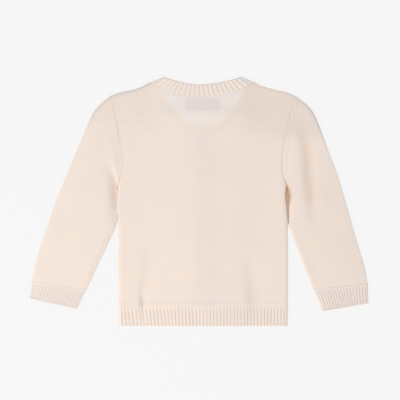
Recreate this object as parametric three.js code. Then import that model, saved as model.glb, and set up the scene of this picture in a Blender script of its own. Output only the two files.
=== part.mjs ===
// Knitted baby cardigan laid flat with its back up.
// Units are millimetres, +Z is up. The fronts lie on z = 0 and the back panel
// lies on them. +Y runs from the hem to the neck, +X to the wearer's right.
// The origin is under the middle of the whole outline.
import * as THREE from 'three';

// ---------------------------------------------------------------- driving sizes
const WALL = 2.0;            // thickness of the main knit
const RIB = 2.4;             // thickness of the ribbed pieces
const SEAM = 0.3;            // gap between two pieces at a seam
const MID = 3.0;             // height at which back and fronts meet along a folded edge
const EDGE_R = 6.0;          // plan width over which a folded edge rounds down
const LIP = 1.2;             // half of the blunt height left at a folded edge
const BODY_TOP = 7.0;        // top of the back panel away from the button bands
const SLEEVE_TOP = 7.2;      // top of a sleeve
const HEM_Y = -174.7;        // bottom of the hem
const HEM_RIB_H = 29.4;      // height of the hem rib
const CENTRE_X = 5.8;        // centre line of the body
const BAND_W = 30.0;         // width of the front bands
const BAND_RAMP = 34.0;      // width over which a front rises to its band
const BUTTONS = 5;
const BUTTON_D = 12.0;
const BUTTON_T = 2.4;
const TOP_BUTTON_Y = 98.2;
const BUTTON_STEP = 64.6;
const LABEL = { w: 50.0, h: 18.0, t: 1.0, y: 143.8, drop: 1.1 };   // y: its top; drop: how far below the back

const HEM_SEAM_Y = HEM_Y + HEM_RIB_H;
const BAND_L = CENTRE_X - BAND_W / 2;      // seam of the left front and the button band
const BAND_R = CENTRE_X + BAND_W / 2;      // seam of the right front and the buttonhole band
const LOW_BAND_Z = BUTTON_T + SEAM;        // underside of the buttonhole band
const HIGH_BAND_Z = LOW_BAND_Z + RIB + SEAM; // underside of the button band

// ---------------------------------------------------------------- outline tables
// Body side and armhole, from the hem up to the shoulder point.
const SIDE = [
  { y: -174.7, left: -112.0, right: 124.0 },
  { y: -145.3, left: -113.0, right: 124.6 },
  { y: -90.0, left: -113.2, right: 124.8 },
  { y: -31.0, left: -113.2, right: 124.4 },
  { y: -5.0, left: -113.3, right: 122.2 },
  { y: 10.0, left: -113.4, right: 120.9 },
  { y: 20.6, left: -113.6, right: 122.3 },   // underarm
  { y: 35.3, left: -109.6, right: 118.6 },
  { y: 46.5, left: -107.4, right: 116.9 },
  { y: 60.0, left: -106.9, right: 116.8 },
  { y: 80.0, left: -109.2, right: 119.4 },
  { y: 101.0, left: -112.9, right: 123.4 },
  { y: 124.0, left: -117.8, right: 129.2 },
  { y: 147.2, left: -124.6, right: 135.5 },  // shoulder point
];
const UNDERARM_Y = 20.6;

// Shoulder edge, from the neckband out to the shoulder point.
const SHOULDER_LEFT = [
  { x: -68.6, y: 166.9 }, { x: -74.2, y: 163.4 }, { x: -86.8, y: 157.8 },
  { x: -98.0, y: 154.9 }, { x: -110.6, y: 152.3 }, { x: -124.6, y: 147.2 },
];
const SHOULDER_RIGHT = [
  { x: 77.7, y: 167.2 }, { x: 84.0, y: 163.4 }, { x: 100.8, y: 157.8 },
  { x: 112.7, y: 154.9 }, { x: 124.6, y: 152.3 }, { x: 135.5, y: 147.2 },
];

// Neckband rulings across its width: free edge (fx, fy) to seam (sx, sy).
const NECK_BACK = [
  { fx: -49.3, fy: 174.0, sx: -68.6, sy: 166.9 },
  { fx: -43.0, fy: 171.8, sx: -58.6, sy: 161.2 },
  { fx: -33.6, fy: 169.0, sx: -44.6, sy: 154.6 },
  { fx: -16.8, fy: 165.0, sx: -22.6, sy: 149.2 },
  { fx: 0.7, fy: 162.9, sx: 2.1, sy: 146.8 },
  { fx: 21.0, fy: 165.0, sx: 27.4, sy: 149.2 },
  { fx: 42.0, fy: 169.0, sx: 52.0, sy: 154.6 },
  { fx: 52.6, fy: 171.9, sx: 66.8, sy: 161.2 },
  { fx: 59.8, fy: 174.3, sx: 77.7, sy: 167.2 },
];
// Free edge of the front neckband, from each shoulder down past the centre.
const NECK_FRONT_LEFT = [
  { fx: -51.4, fy: 165.0, sx: -67.9, sy: 158.6 },
  { fx: -51.2, fy: 154.8, sx: -66.0, sy: 147.2 },
  { fx: -47.2, fy: 144.6, sx: -60.4, sy: 134.8 },
  { fx: -36.6, fy: 131.2, sx: -48.4, sy: 119.8 },
  { fx: -19.6, fy: 115.6, sx: -28.6, sy: 102.6 },
  { fx: -8.4, fy: 108.8, sx: -12.4, sy: 93.8 },
  { fx: 4.9, fy: 106.0, sx: 4.9, sy: 90.5 },
  { fx: 20.5, fy: 108.8, sx: 20.8, sy: 93.2 },
];
const NECK_FRONT_RIGHT = [
  { fx: 61.7, fy: 165.0, sx: 77.0, sy: 158.6 },
  { fx: 61.2, fy: 154.0, sx: 75.4, sy: 147.2 },
  { fx: 56.7, fy: 142.6, sx: 70.0, sy: 134.2 },
  { fx: 46.0, fy: 131.0, sx: 58.0, sy: 119.6 },
  { fx: 30.8, fy: 115.6, sx: 39.2, sy: 102.6 },
  { fx: 19.4, fy: 108.6, sx: 23.4, sy: 93.8 },
  { fx: 4.9, fy: 106.0, sx: 4.9, sy: 90.5 },
  { fx: -9.2, fy: 108.9, sx: -9.2, sy: 93.2 },
];

// Sleeve sections: outer edge (ox, oy) and inner edge (ix, iy).
const SLEEVE_LEFT = [
  { ox: -124.6, oy: 147.2, ix: -114.2, iy: 20.6 },   // armhole
  { ox: -139.0, oy: 135.0, ix: -114.8, iy: 12.9 },
  { ox: -150.5, oy: 120.0, ix: -115.4, iy: 3.8 },
  { ox: -162.0, oy: 92.7, ix: -115.5, iy: -9.8 },
  { ox: -174.3, oy: 64.0, ix: -114.9, iy: -22.8 },
  { ox: -186.6, oy: 34.0, ix: -117.0, iy: -37.0 },
  { ox: -200.5, oy: 0.3, ix: -125.0, iy: -54.3 },
  { ox: -208.2, oy: -22.0, ix: -130.5, iy: -66.8 },
  { ox: -216.3, oy: -45.1, ix: -137.1, iy: -80.1 },
  { ox: -224.1, oy: -68.3, ix: -143.8, iy: -94.1 },
  { ox: -229.7, oy: -89.3, ix: -149.7, iy: -107.4 },
  { ox: -233.8, oy: -112.1, ix: -157.4, iy: -123.7 }, // cuff seam
];
const CUFF_LEFT = [
  { ox: -233.8, oy: -112.1, ix: -157.4, iy: -123.7 },
  { ox: -236.0, oy: -124.9, ix: -163.8, iy: -136.1 },
  { ox: -238.0, oy: -135.7, ix: -170.1, iy: -150.8 },
];
const SLEEVE_RIGHT = [
  { ox: 135.5, oy: 147.2, ix: 123.3, iy: 20.6 },      // armhole
  { ox: 151.6, oy: 135.0, ix: 125.7, iy: 12.3 },
  { ox: 162.4, oy: 120.0, ix: 126.3, iy: 3.1 },
  { ox: 173.4, oy: 92.7, ix: 125.9, iy: -11.2 },
  { ox: 184.2, oy: 64.0, ix: 125.7, iy: -24.8 },
  { ox: 195.4, oy: 34.0, ix: 127.8, iy: -39.4 },
  { ox: 205.4, oy: 0.3, ix: 133.4, iy: -56.3 },
  { ox: 211.8, oy: -22.0, ix: 138.0, iy: -68.3 },
  { ox: 218.4, oy: -45.1, ix: 142.8, iy: -80.8 },
  { ox: 225.2, oy: -68.3, ix: 147.4, iy: -94.1 },
  { ox: 231.8, oy: -89.3, ix: 152.6, iy: -106.0 },
  { ox: 236.6, oy: -115.1, ix: 158.8, iy: -123.5 },   // cuff seam
];
const CUFF_RIGHT = [
  { ox: 236.6, oy: -115.1, ix: 158.8, iy: -123.5 },
  { ox: 237.4, oy: -128.4, ix: 165.2, iy: -136.1 },
  { ox: 238.0, oy: -142.4, ix: 171.9, iy: -154.1 },
];

// Largest folds: soft troughs from (x1, y1) to (x2, y2).
const FOLDS = [
  { of: 'body', x1: -72.8, y1: -20.0, x2: -82.6, y2: -150.0, width: 9.0, depth: 0.9 },
  { of: 'body', x1: 65.8, y1: -80.0, x2: 74.2, y2: -150.0, width: 8.0, depth: 0.7 },
  { of: 'sleeve_left', x1: -128.0, y1: 44.0, x2: -121.5, y2: -12.0, width: 5.0, depth: 1.6 },
  { of: 'sleeve_right', x1: 152.0, y1: 80.0, x2: 160.0, y2: -24.0, width: 10.0, depth: 1.0 },
];

// ---------------------------------------------------------------- small maths
const clamp01 = (t) => Math.min(1, Math.max(0, t));
const smooth = (t) => { const s = clamp01(t); return s * s * (3 - 2 * s); };
const round4 = (v) => Math.round(v * 1e4) / 1e4;

// Smooth interpolation of every column of a table; t runs from 0 to 1 over its rows.
function alongTable(rows, t) {
  const s = clamp01(t) * (rows.length - 1);
  const i = Math.min(rows.length - 2, Math.floor(s));
  const f = s - i;
  const p = (k) => rows[Math.min(rows.length - 1, Math.max(0, k))];
  const out = {};
  for (const key of Object.keys(rows[i])) {
    const a = p(i - 1)[key], b = p(i)[key], c = p(i + 1)[key], d = p(i + 2)[key];
    out[key] = b + 0.5 * f * (c - a + f * (2 * a - 5 * b + 4 * c - d + f * (3 * (b - c) + d - a)));
  }
  return out;
}

const span = (n, from = 0, to = 1) => Array.from({ length: n + 1 }, (_, i) => from + (to - from) * i / n);

// Stations from one folded edge to the other: close together where it rounds.
const EDGE_STEPS = [0, 1.6, 5.2];
const acrossStations = (width) => [...EDGE_STEPS.map((d) => d / width), ...span(4, 0.15, 0.85),
  ...EDGE_STEPS.map((d) => 1 - d / width).reverse()];

// x of a body side at height y, straight between the rows of a table.
function straightX(rows, y, side) {
  for (let i = 1; i < rows.length; i += 1) {
    if (y <= rows[i].y || i === rows.length - 1) {
      const a = rows[i - 1], b = rows[i];
      return a[side] + (b[side] - a[side]) * clamp01((y - a.y) / (b.y - a.y));
    }
  }
  return 0;
}
// The heights at which the armhole seam has a corner, on panels and sleeves alike.
const SHOULDER_Y = SIDE[SIDE.length - 1].y;
const ARMHOLE_YS = acrossStations(127.0).map((t) => UNDERARM_Y + (SHOULDER_Y - UNDERARM_Y) * t);
const SIDE_CORNERS = [...SIDE.filter((r) => r.y < UNDERARM_Y),
  ...ARMHOLE_YS.map((y) => ({ y, left: straightX(SIDE, y, 'left'), right: straightX(SIDE, y, 'right') }))];
const sideX = (y, side) => straightX(SIDE_CORNERS, y, side);

function distanceToSegment(x, y, ax, ay, bx, by) {
  const dx = bx - ax, dy = by - ay;
  const t = clamp01(((x - ax) * dx + (y - ay) * dy) / (dx * dx + dy * dy));
  return { d: Math.hypot(x - ax - t * dx, y - ay - t * dy), t };
}
function distanceToLine(x, y, points) {
  let best = Infinity;
  for (let i = 1; i < points.length; i += 1) {
    const s = distanceToSegment(x, y, points[i - 1].x, points[i - 1].y, points[i].x, points[i].y);
    best = Math.min(best, s.d);
  }
  return best;
}

// ---------------------------------------------------------------- heights
// The edges where back and fronts turn into each other: sides and shoulders.
const FOLDED = ['left', 'right'].map((side) => SIDE.filter((r) => r.y <= UNDERARM_Y)
  .map((r) => ({ x: r[side], y: r.y }))).concat([SHOULDER_LEFT, SHOULDER_RIGHT]);
const foldedDistance = (x, y) => Math.min(...FOLDED.map((line) => distanceToLine(x, y, line)));
const roundEdge = (d) => { const t = 1 - clamp01(d / EDGE_R); return Math.sqrt(1 - t * t); };

function foldDepth(piece, x, y) {
  let sum = 0;
  for (const f of FOLDS.filter((row) => row.of === piece)) {
    const s = distanceToSegment(x, y, f.x1, f.y1, f.x2, f.y2);
    sum += f.depth * Math.exp(-((s.d / f.width) ** 2)) * smooth(Math.min(s.t * 3 + 0.1, 1));
  }
  return sum;
}
// How far the left and the right front rise to reach their bands.
const riseLeft = (x) => HIGH_BAND_Z * smooth((x - BAND_L + BAND_RAMP) / BAND_RAMP);
const riseRight = (x) => LOW_BAND_Z * smooth((BAND_R + BAND_RAMP - x) / BAND_RAMP);
// The ridge that the stacked bands raise in the back.
const ridge = (x) => smooth((54 - Math.abs(x - CENTRE_X)) / 38);

const backTop = (x, y) => BODY_TOP + 3.5 * ridge(x) * smooth((146 - y) / 30) - foldDepth('body', x, y);
function backSheet(x, y, wall) {
  const e = roundEdge(foldedDistance(x, y));
  const top = backTop(x, y) + (wall - WALL);
  return {
    low: MID + SEAM / 2 + (top - wall - MID - SEAM / 2) * e,
    high: MID + LIP + (top - MID - LIP) * e,
  };
}
function frontSheet(x, y, wall, rise) {
  const e = roundEdge(foldedDistance(x, y));
  return {
    low: (MID - LIP) * (1 - e) + rise * e,
    high: MID - SEAM / 2 + (wall + rise - MID + SEAM / 2) * e,
  };
}

// ---------------------------------------------------------------- solids
function solid(positions, triangles) {
  let volume = 0;
  for (const [a, b, c] of triangles) {
    const [p, q, r] = [positions[a], positions[b], positions[c]];
    volume += p[0] * (q[1] * r[2] - q[2] * r[1]) - p[1] * (q[0] * r[2] - q[2] * r[0])
      + p[2] * (q[0] * r[1] - q[1] * r[0]);
  }
  const faces = volume < 0 ? triangles.map(([a, b, c]) => [a, c, b]) : triangles;
  const geometry = new THREE.BufferGeometry();
  geometry.setAttribute('position', new THREE.Float32BufferAttribute(positions.flat().map(round4), 3));
  geometry.setIndex(faces.flat());
  geometry.computeVertexNormals();
  return geometry;
}

// A wall from a grid of plan points: its upper and lower sheets and the rim.
function wallSolid(grid, heights) {
  const rows = grid.length, cols = grid[0].length;
  const positions = [], triangles = [];
  for (const level of ['low', 'high']) {
    for (const row of grid) for (const p of row) positions.push([p.x, p.y, heights(p.x, p.y)[level]]);
  }
  const at = (level, i, j) => level * rows * cols + i * cols + j;
  const quad = (a, b, c, d) => triangles.push([a, b, c], [a, c, d]);
  for (let i = 0; i + 1 < rows; i += 1) {
    for (let j = 0; j + 1 < cols; j += 1) {
      quad(at(1, i, j), at(1, i, j + 1), at(1, i + 1, j + 1), at(1, i + 1, j));
      quad(at(0, i, j), at(0, i + 1, j), at(0, i + 1, j + 1), at(0, i, j + 1));
    }
  }
  const rim = [];
  for (let j = 0; j < cols; j += 1) rim.push([0, j]);
  for (let i = 1; i < rows; i += 1) rim.push([i, cols - 1]);
  for (let j = cols - 2; j >= 0; j -= 1) rim.push([rows - 1, j]);
  for (let i = rows - 2; i > 0; i -= 1) rim.push([i, 0]);
  rim.forEach(([i, j], k) => {
    const [m, n] = rim[(k + 1) % rim.length];
    quad(at(0, i, j), at(0, m, n), at(1, m, n), at(1, i, j));
  });
  return solid(positions, triangles);
}

// A tube wall from matching outer and inner rings.
function tubeSolid(outer, inner) {
  const sections = outer.length, n = outer[0].length;
  const positions = [...outer.flat(), ...inner.flat()];
  const triangles = [];
  const o = (s, k) => s * n + (k % n);
  const q = (s, k) => sections * n + s * n + (k % n);
  const quad = (a, b, c, d) => triangles.push([a, b, c], [a, c, d]);
  for (let k = 0; k < n; k += 1) {
    for (let s = 0; s + 1 < sections; s += 1) {
      quad(o(s, k), o(s, k + 1), o(s + 1, k + 1), o(s + 1, k));
      quad(q(s, k), q(s + 1, k), q(s + 1, k + 1), q(s, k + 1));
    }
    quad(o(0, k), q(0, k), q(0, k + 1), o(0, k + 1));
    quad(o(sections - 1, k), o(sections - 1, k + 1), q(sections - 1, k + 1), q(sections - 1, k));
  }
  return solid(positions, triangles);
}

// A bar through closed sections, with a flat fan on each end.
function barSolid(sections) {
  const n = sections[0].length;
  const positions = sections.flat();
  const triangles = [];
  const at = (s, k) => s * n + (k % n);
  for (let s = 0; s + 1 < sections.length; s += 1) {
    for (let k = 0; k < n; k += 1) {
      triangles.push([at(s, k), at(s, k + 1), at(s + 1, k + 1)], [at(s, k), at(s + 1, k + 1), at(s + 1, k)]);
    }
  }
  for (let k = 1; k + 1 < n; k += 1) {
    triangles.push([at(0, 0), at(0, k + 1), at(0, k)]);
    triangles.push([at(sections.length - 1, 0), at(sections.length - 1, k), at(sections.length - 1, k + 1)]);
  }
  return solid(positions, triangles);
}

// ---------------------------------------------------------------- panels
// Plan grid between four edges: bottom and top are functions of u, left and
// right of v, each running from 0 to 1. The curve of a side fades out over its reach.
function patch(bottom, top, left, right, us, vs, reach) {
  const bend = (side, v, key) => side(v)[key] - (1 - v) * side(0)[key] - v * side(1)[key];
  return vs.map((v) => us.map((u) => {
    const [B, T] = [bottom(u), top(u)];
    const [wl, wr] = [clamp01(1 - u / reach), clamp01(1 - (1 - u) / reach)];
    const mix = (key) => (1 - v) * B[key] + v * T[key] + wl * bend(left, v, key) + wr * bend(right, v, key);
    return { x: mix('x'), y: mix('y') };
  }));
}
const lineTo = (a, b) => (t) => ({ x: a.x + (b.x - a.x) * t, y: a.y + (b.y - a.y) * t });
// Arc-length position along a list of plan points.
function alongPoints(points) {
  const lengths = [0];
  for (let i = 1; i < points.length; i += 1) {
    lengths.push(lengths[i - 1] + Math.hypot(points[i].x - points[i - 1].x, points[i].y - points[i - 1].y));
  }
  const total = lengths[lengths.length - 1];
  const at = (t) => {
    const s = clamp01(t) * total;
    let i = 1;
    while (i < points.length - 1 && lengths[i] < s) i += 1;
    const f = (s - lengths[i - 1]) / (lengths[i] - lengths[i - 1]);
    return { x: points[i - 1].x + (points[i].x - points[i - 1].x) * f, y: points[i - 1].y + (points[i].y - points[i - 1].y) * f };
  };
  return { at, lengths: lengths.map((l) => l / total), total };
}

// Rulings of the neckband, at which the band and the panels beside it have corners.
const FRONT_LEFT_RULINGS = span(16).map((t) => alongTable([NECK_BACK[0], ...NECK_FRONT_LEFT], t));
const FRONT_RIGHT_RULINGS = span(16).map((t) => alongTable([NECK_BACK[8], ...NECK_FRONT_RIGHT], t));
const BACK_RULINGS = span(12).map((t) => alongTable(NECK_BACK, t));
// The panel's edge beside the band: the seam ends of the rulings, moved off the band,
// and a little further where the band turns over at a shoulder.
const seamLine = (rulings, turning = 0) => rulings.map((r, i) => {
  const k = (i < turning ? 2.0 : 1.4) * SEAM / Math.hypot(r.sx - r.fx, r.sy - r.fy);
  return { x: r.sx + (r.sx - r.fx) * k, y: r.sy + (r.sy - r.fy) * k };
});

// Stations up a panel, from the hem seam to the shoulder.
function sideRows() {
  const y0 = HEM_SEAM_Y + SEAM / 2, y1 = SHOULDER_Y;
  const ys = [y0, -108, -66, -31, -5, 10, ...ARMHOLE_YS];
  return ys.map((y) => (y - y0) / (y1 - y0));
}
const sideAt = (side, inset) => {
  const y0 = HEM_SEAM_Y + SEAM / 2, y1 = SHOULDER_Y;
  return (v) => {
    const y = y0 + (y1 - y0) * v;
    const onArmhole = y > UNDERARM_Y - 0.1;
    return { x: sideX(y, side) + (side === 'left' ? 1 : -1) * (onArmhole ? inset : 0), y };
  };
};

function backPanel() {
  const left = sideAt('left', SEAM / 2), right = sideAt('right', SEAM / 2);
  const neck = seamLine(BACK_RULINGS);
  const topPoints = [left(1), ...[...SHOULDER_LEFT].reverse().slice(1, -1), ...neck,
    ...SHOULDER_RIGHT.slice(1, -1), right(1)];
  const top = alongPoints(topPoints);
  const bottomWidth = right(0).x - left(0).x;
  const steps = EDGE_STEPS.map((d) => d / bottomWidth);
  const first = SHOULDER_LEFT.length - 1;
  const us = [...steps, 0.10, ...top.lengths.slice(first, first + neck.length), 0.90,
    ...steps.map((s) => 1 - s).reverse()];
  const grid = patch(lineTo(left(0), right(0)), top.at, left, right, us, sideRows(), 0.45);
  return wallSolid(grid, (x, y) => backSheet(x, y, WALL));
}

function frontPanel(side) {
  const isLeft = side === 'left';
  const outer = sideAt(side, SEAM / 2);
  const bandX = isLeft ? BAND_L - SEAM : BAND_R + SEAM;
  const seam = seamLine(isLeft ? FRONT_LEFT_RULINGS : FRONT_RIGHT_RULINGS, 5);
  const beside = seam.findIndex((p) => (isLeft ? p.x > bandX - 1 : p.x < bandX + 1));
  const neck = seam.slice(0, beside);
  const last = neck[neck.length - 1], next = seam[beside];
  const corner = { x: bandX, y: last.y + (next.y - last.y) * (bandX - last.x) / (next.x - last.x) };
  const shoulder = isLeft ? SHOULDER_LEFT : SHOULDER_RIGHT;
  const topPoints = [outer(1), ...[...shoulder].reverse().slice(1, -1), ...neck, corner];
  const top = alongPoints(topPoints);
  const bottom = lineTo(outer(0), { x: bandX, y: outer(0).y });
  const inner = lineTo({ x: bandX, y: outer(0).y }, corner);
  const width = Math.abs(bandX - outer(0).x);
  const steps = EDGE_STEPS.map((d) => d / width);
  const neckStart = top.lengths[shoulder.length - 1];
  const us = [...steps, 0.17, ...top.lengths.slice(shoulder.length - 1)];
  const grid = patch(bottom, top.at, outer, inner, us, sideRows(), neckStart);
  return wallSolid(grid, (x, y) => frontSheet(x, y, WALL, isLeft ? riseLeft(x) : riseRight(x)));
}

// Hem rib: a short wall between the hem seam and the bottom of the garment.
function hemRib(x0, x1, foldedEnds, heights) {
  const y1 = HEM_SEAM_Y - SEAM / 2;
  const width = x1(0) - x0(0);
  const steps = EDGE_STEPS.map((d) => d / width);
  const us = [...new Set([...(foldedEnds.left ? steps : [0]), ...span(foldedEnds.count, 0.1, 0.9),
    ...(foldedEnds.right ? steps.map((s) => 1 - s).reverse() : [1])])];
  const grid = [0, 0.06, 0.5, 1].map((v) => us.map((u) => ({
    x: x0(v) + (x1(v) - x0(v)) * u,
    y: HEM_Y + (y1 - HEM_Y) * v,
  })));
  return wallSolid(grid, heights);
}
const hemSide = (side) => (v) => sideX(HEM_Y + HEM_RIB_H * v, side);

// ---------------------------------------------------------------- sleeves
// A ring between two plan points, going out over the top and back below.
function flatRing(row, top, wallIn, bow, piece, stationWidth) {
  const width = Math.hypot(row.ix - row.ox, row.iy - row.oy);
  const dir = { x: (row.ix - row.ox) / width, y: (row.iy - row.oy) / width };
  const inset = wallIn;
  const fractions = acrossStations(stationWidth ?? width);
  const lift = (t) => {
    const d = Math.min(t, 1 - t) * width;
    return roundEdge(d);
  };
  const point = (t, up) => {
    const s = inset / width + t * (1 - 2 * inset / width);
    const b = bow(s);
    const x = row.ox + dir.x * width * s + b.x, y = row.oy + dir.y * width * s + b.y;
    const e = lift(t);
    const crown = top - foldDepth(piece, x, y);
    const lip = LIP - (wallIn > 0 ? 0.7 : 0);
    const z = up ? MID + lip + (crown - wallIn - MID - lip) * e : (MID - lip) + (wallIn - MID + lip) * e;
    return [x, y, z];
  };
  return [...fractions.map((t) => point(t, true)), ...[...fractions].reverse().map((t) => point(t, false))];
}

function sleeve(side, rows) {
  const sign = side === 'left' ? -1 : 1;
  const piece = `sleeve_${side}`;
  // the first section follows the armhole, and the next ones lose its curve
  const first = { ox: sideX(SHOULDER_Y, side), oy: SHOULDER_Y, ix: sideX(UNDERARM_Y, side), iy: UNDERARM_Y };
  const armholeBow = (s) => {
    const y = first.oy + (first.iy - first.oy) * s;
    return sideX(y, side) - (first.ox + (first.ix - first.ox) * s);
  };
  const fade = [1, 0.78, 0.56, 0.36, 0.18, 0.06];
  const ringAt = (wallIn) => rows.map((row, i) => {
    const last = i === rows.length - 1;
    const r = i === 0 ? first : row;
    const k = fade[i] ?? 0;
    const back = last ? SEAM / 2 : 0;
    const shifted = last ? { ox: r.ox, oy: r.oy + back, ix: r.ix, iy: r.iy + back } : r;
    return flatRing(shifted, i === 0 ? BODY_TOP : SLEEVE_TOP, wallIn,
      (s) => ({ x: armholeBow(s) * k + (i === 0 ? sign * SEAM / 2 : 0), y: 0 }), piece, i === 0 ? 127.0 : undefined);
  });
  return tubeSolid(ringAt(0), ringAt(WALL));
}

function cuff(side, rows) {
  const ringAt = (wallIn) => rows.map((row, i) => {
    const back = i === 0 ? -SEAM / 2 : 0;
    return flatRing({ ...row, oy: row.oy + back, iy: row.iy + back }, SLEEVE_TOP + 0.6, wallIn, () => ({ x: 0, y: 0 }), `cuff_${side}`);
  });
  return tubeSolid(ringAt(0), ringAt(RIB));
}

// ---------------------------------------------------------------- neckband
// One strip round the neck. It lies on the back, turns over at each shoulder
// and runs down the fronts, where its two ends lie on each other.
const NECK_TOP_Z = BODY_TOP + 0.4 - RIB / 2;       // middle of the strip on the back
const NECK_LOW_Z = RIB / 2;                        // middle of the strip on the floor
function stripSection(F, S, n) {
  const w = new THREE.Vector3().subVectors(S, F).normalize();
  const h = RIB / 2, r = 0.7;
  const corner = (base, along, up) => base.clone().addScaledVector(w, along).addScaledVector(n, up);
  return [corner(F, r, h), corner(S, -r, h), corner(S, 0, h - r), corner(S, 0, r - h),
    corner(S, -r, -h), corner(F, r, -h), corner(F, 0, r - h), corner(F, 0, h - r)].map((p) => [p.x, p.y, p.z]);
}
function neckband() {
  const up = new THREE.Vector3(0, 0, 1);
  const sections = [];
  const down = up.clone().negate();
  const radius = (NECK_TOP_Z - NECK_LOW_Z) / 2;
  const axisZ = (NECK_TOP_Z + NECK_LOW_Z) / 2;
  const ruled = (r, z, n, cut = 0) => {
    const F = new THREE.Vector3(r.fx, r.fy, z), S = new THREE.Vector3(r.sx, r.sy, z);
    const w = new THREE.Vector3().subVectors(S, F).normalize();
    sections.push(stripSection(F, S.addScaledVector(w, -cut), n));
  };
  // A shoulder fold: the ruling moves inwards as it turns from the edge to flat.
  const inward = (row, r) => {
    const w = Math.hypot(row.sx - row.fx, row.sy - row.fy);
    const [ax, ay] = [(row.sx - row.fx) / w, (row.sy - row.fy) / w];
    return Math.abs(((r.fx + r.sx - row.fx - row.sx) * ay - (r.fy + r.sy - row.fy - row.sy) * ax) / 2);
  };
  const fold = (rows, deg) => {
    const a = deg * Math.PI / 180;
    const depth = RIB / 2 + radius * (1 - Math.cos(a));
    const t = span(400, 0, 0.3).find((k) => inward(rows[0], alongTable(rows, k)) >= depth);
    const r = alongTable(rows, t);
    const w = new THREE.Vector3(r.sx - r.fx, r.sy - r.fy, 0).normalize();
    const out = new THREE.Vector3(w.y, -w.x, 0);
    if (out.y < 0) out.negate();
    const n = out.multiplyScalar(Math.cos(a)).addScaledVector(up, Math.sin(a));
    ruled(r, axisZ + radius * Math.sin(a), n, 1.5 * Math.cos(a));
  };
  const flatFrom = (rows, rulings) => rulings.filter((r) => inward(rows[0], r) > RIB / 2 + radius + 0.6);
  const frontSide = (rulings, rise) => flatFrom(rulings, rulings)
    .forEach((r) => ruled(r, NECK_LOW_Z + rise((r.fx + r.sx) / 2), down));
  frontSide([...FRONT_LEFT_RULINGS], riseLeft);
  const leftFront = sections.splice(0).reverse();
  for (const deg of [-80, -50, -20]) fold([NECK_BACK[0], ...NECK_FRONT_LEFT], deg);
  for (const deg of [0, 30, 60, 85]) fold(NECK_BACK, deg);
  const right = [...NECK_BACK].reverse();
  for (const r of BACK_RULINGS) {
    if (inward(NECK_BACK[0], r) > RIB / 2 + radius + 0.6 && inward(right[0], r) > RIB / 2 + radius + 0.6) ruled(r, NECK_TOP_Z, up);
  }
  for (const deg of [85, 60, 30, 0]) fold(right, deg);
  for (const deg of [-20, -50, -80]) fold([NECK_BACK[8], ...NECK_FRONT_RIGHT], deg);
  frontSide([...FRONT_RIGHT_RULINGS], riseRight);
  return barSolid([...leftFront, ...sections]);
}

// ---------------------------------------------------------------- bands, buttons, label
function frontBand(low) {
  const bottom = HEM_Y, h = low + RIB, c = 0.7;
  const neckSeam = (x) => {
    const rows = low === HIGH_BAND_Z ? NECK_FRONT_LEFT : NECK_FRONT_RIGHT;
    let best = rows[0];
    for (const t of span(400)) {
      const r = alongTable(rows, t);
      if (Math.abs(r.sx - x) < Math.abs(best.sx - x)) best = r;
    }
    return best.sy - 2 * SEAM;
  };
  const xs = [BAND_L, BAND_L + c, CENTRE_X - 7, CENTRE_X, CENTRE_X + 7, BAND_R - c, BAND_R];
  const tops = xs.map(neckSeam);
  const grid = [0, 0.12, 0.3, 0.5, 0.7, 0.9, 1].map((v) => xs.map((x, j) => ({ x, y: bottom + (tops[j] - bottom) * v })));
  return wallSolid(grid, (x) => {
    const edge = x === BAND_L || x === BAND_R ? 0.5 : 0;
    return { low: low + edge, high: h - edge };
  });
}

function button() {
  const r = BUTTON_D / 2, t = BUTTON_T;
  const profile = [
    [0, 0.7], [r - 2.2, 0.7], [r - 1.9, 0.3], [r - 1.2, 0], [r - 0.5, 0.3], [r, t / 2], [r - 0.3, t - 0.5], [r - 1.0, t], [0, t],
  ].map(([x, y]) => new THREE.Vector2(x, y));
  const lathe = new THREE.LatheGeometry(profile, 16);
  const g = lathe.rotateX(Math.PI / 2);
  g.deleteAttribute('normal'); g.deleteAttribute('uv');
  return g;
}

function neckLabel() {
  const x0 = CENTRE_X - LABEL.w / 2, y1 = LABEL.y;
  const grid = span(3).map((v) => span(8).map((u) => ({ x: x0 + LABEL.w * u, y: y1 - LABEL.h + LABEL.h * v })));
  return wallSolid(grid, (x, y) => {
    const under = backSheet(x, y, WALL).low - LABEL.drop;
    return { low: under - LABEL.t, high: under };
  });
}

// ---------------------------------------------------------------- materials
const KNIT = { color: 0xede0d6, roughness: 0.92, metalness: 0 };
const RIBBED = { color: 0xebddd2, roughness: 0.92, metalness: 0 };
const SHELL = { color: 0xf2ebe2, roughness: 0.35, metalness: 0 };
const TAPE = { color: 0xe2d8cf, roughness: 0.8, metalness: 0 };

const garment = new THREE.Group();
function add(name, geometry, look, place = [0, 0, 0], turn = [0, 0, 0]) {
  const mesh = new THREE.Mesh(geometry, new THREE.MeshStandardMaterial(look));
  mesh.name = name;
  mesh.position.set(...place);
  mesh.rotation.set(...turn);
  garment.add(mesh);
}

add('back_panel', backPanel(), KNIT);
add('front_left', frontPanel('left'), KNIT);
add('front_right', frontPanel('right'), KNIT);
add('sleeve_left', sleeve('left', SLEEVE_LEFT), KNIT);
add('sleeve_right', sleeve('right', SLEEVE_RIGHT), KNIT);
add('back_hem_rib', hemRib(hemSide('left'), hemSide('right'), { left: true, right: true, count: 12 },
  (x, y) => backSheet(x, y, RIB)), RIBBED);
add('front_left_hem_rib', hemRib(hemSide('left'), () => BAND_L - SEAM, { left: true, right: false, count: 8 },
  (x, y) => frontSheet(x, y, RIB, riseLeft(x))), RIBBED);
add('front_right_hem_rib', hemRib(() => BAND_R + SEAM, hemSide('right'), { left: false, right: true, count: 8 },
  (x, y) => frontSheet(x, y, RIB, riseRight(x))), RIBBED);
add('cuff_left', cuff('left', CUFF_LEFT), RIBBED);
add('cuff_right', cuff('right', CUFF_RIGHT), RIBBED);
add('neckband', neckband(), RIBBED);
add('button_band', frontBand(HIGH_BAND_Z), RIBBED);
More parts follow.
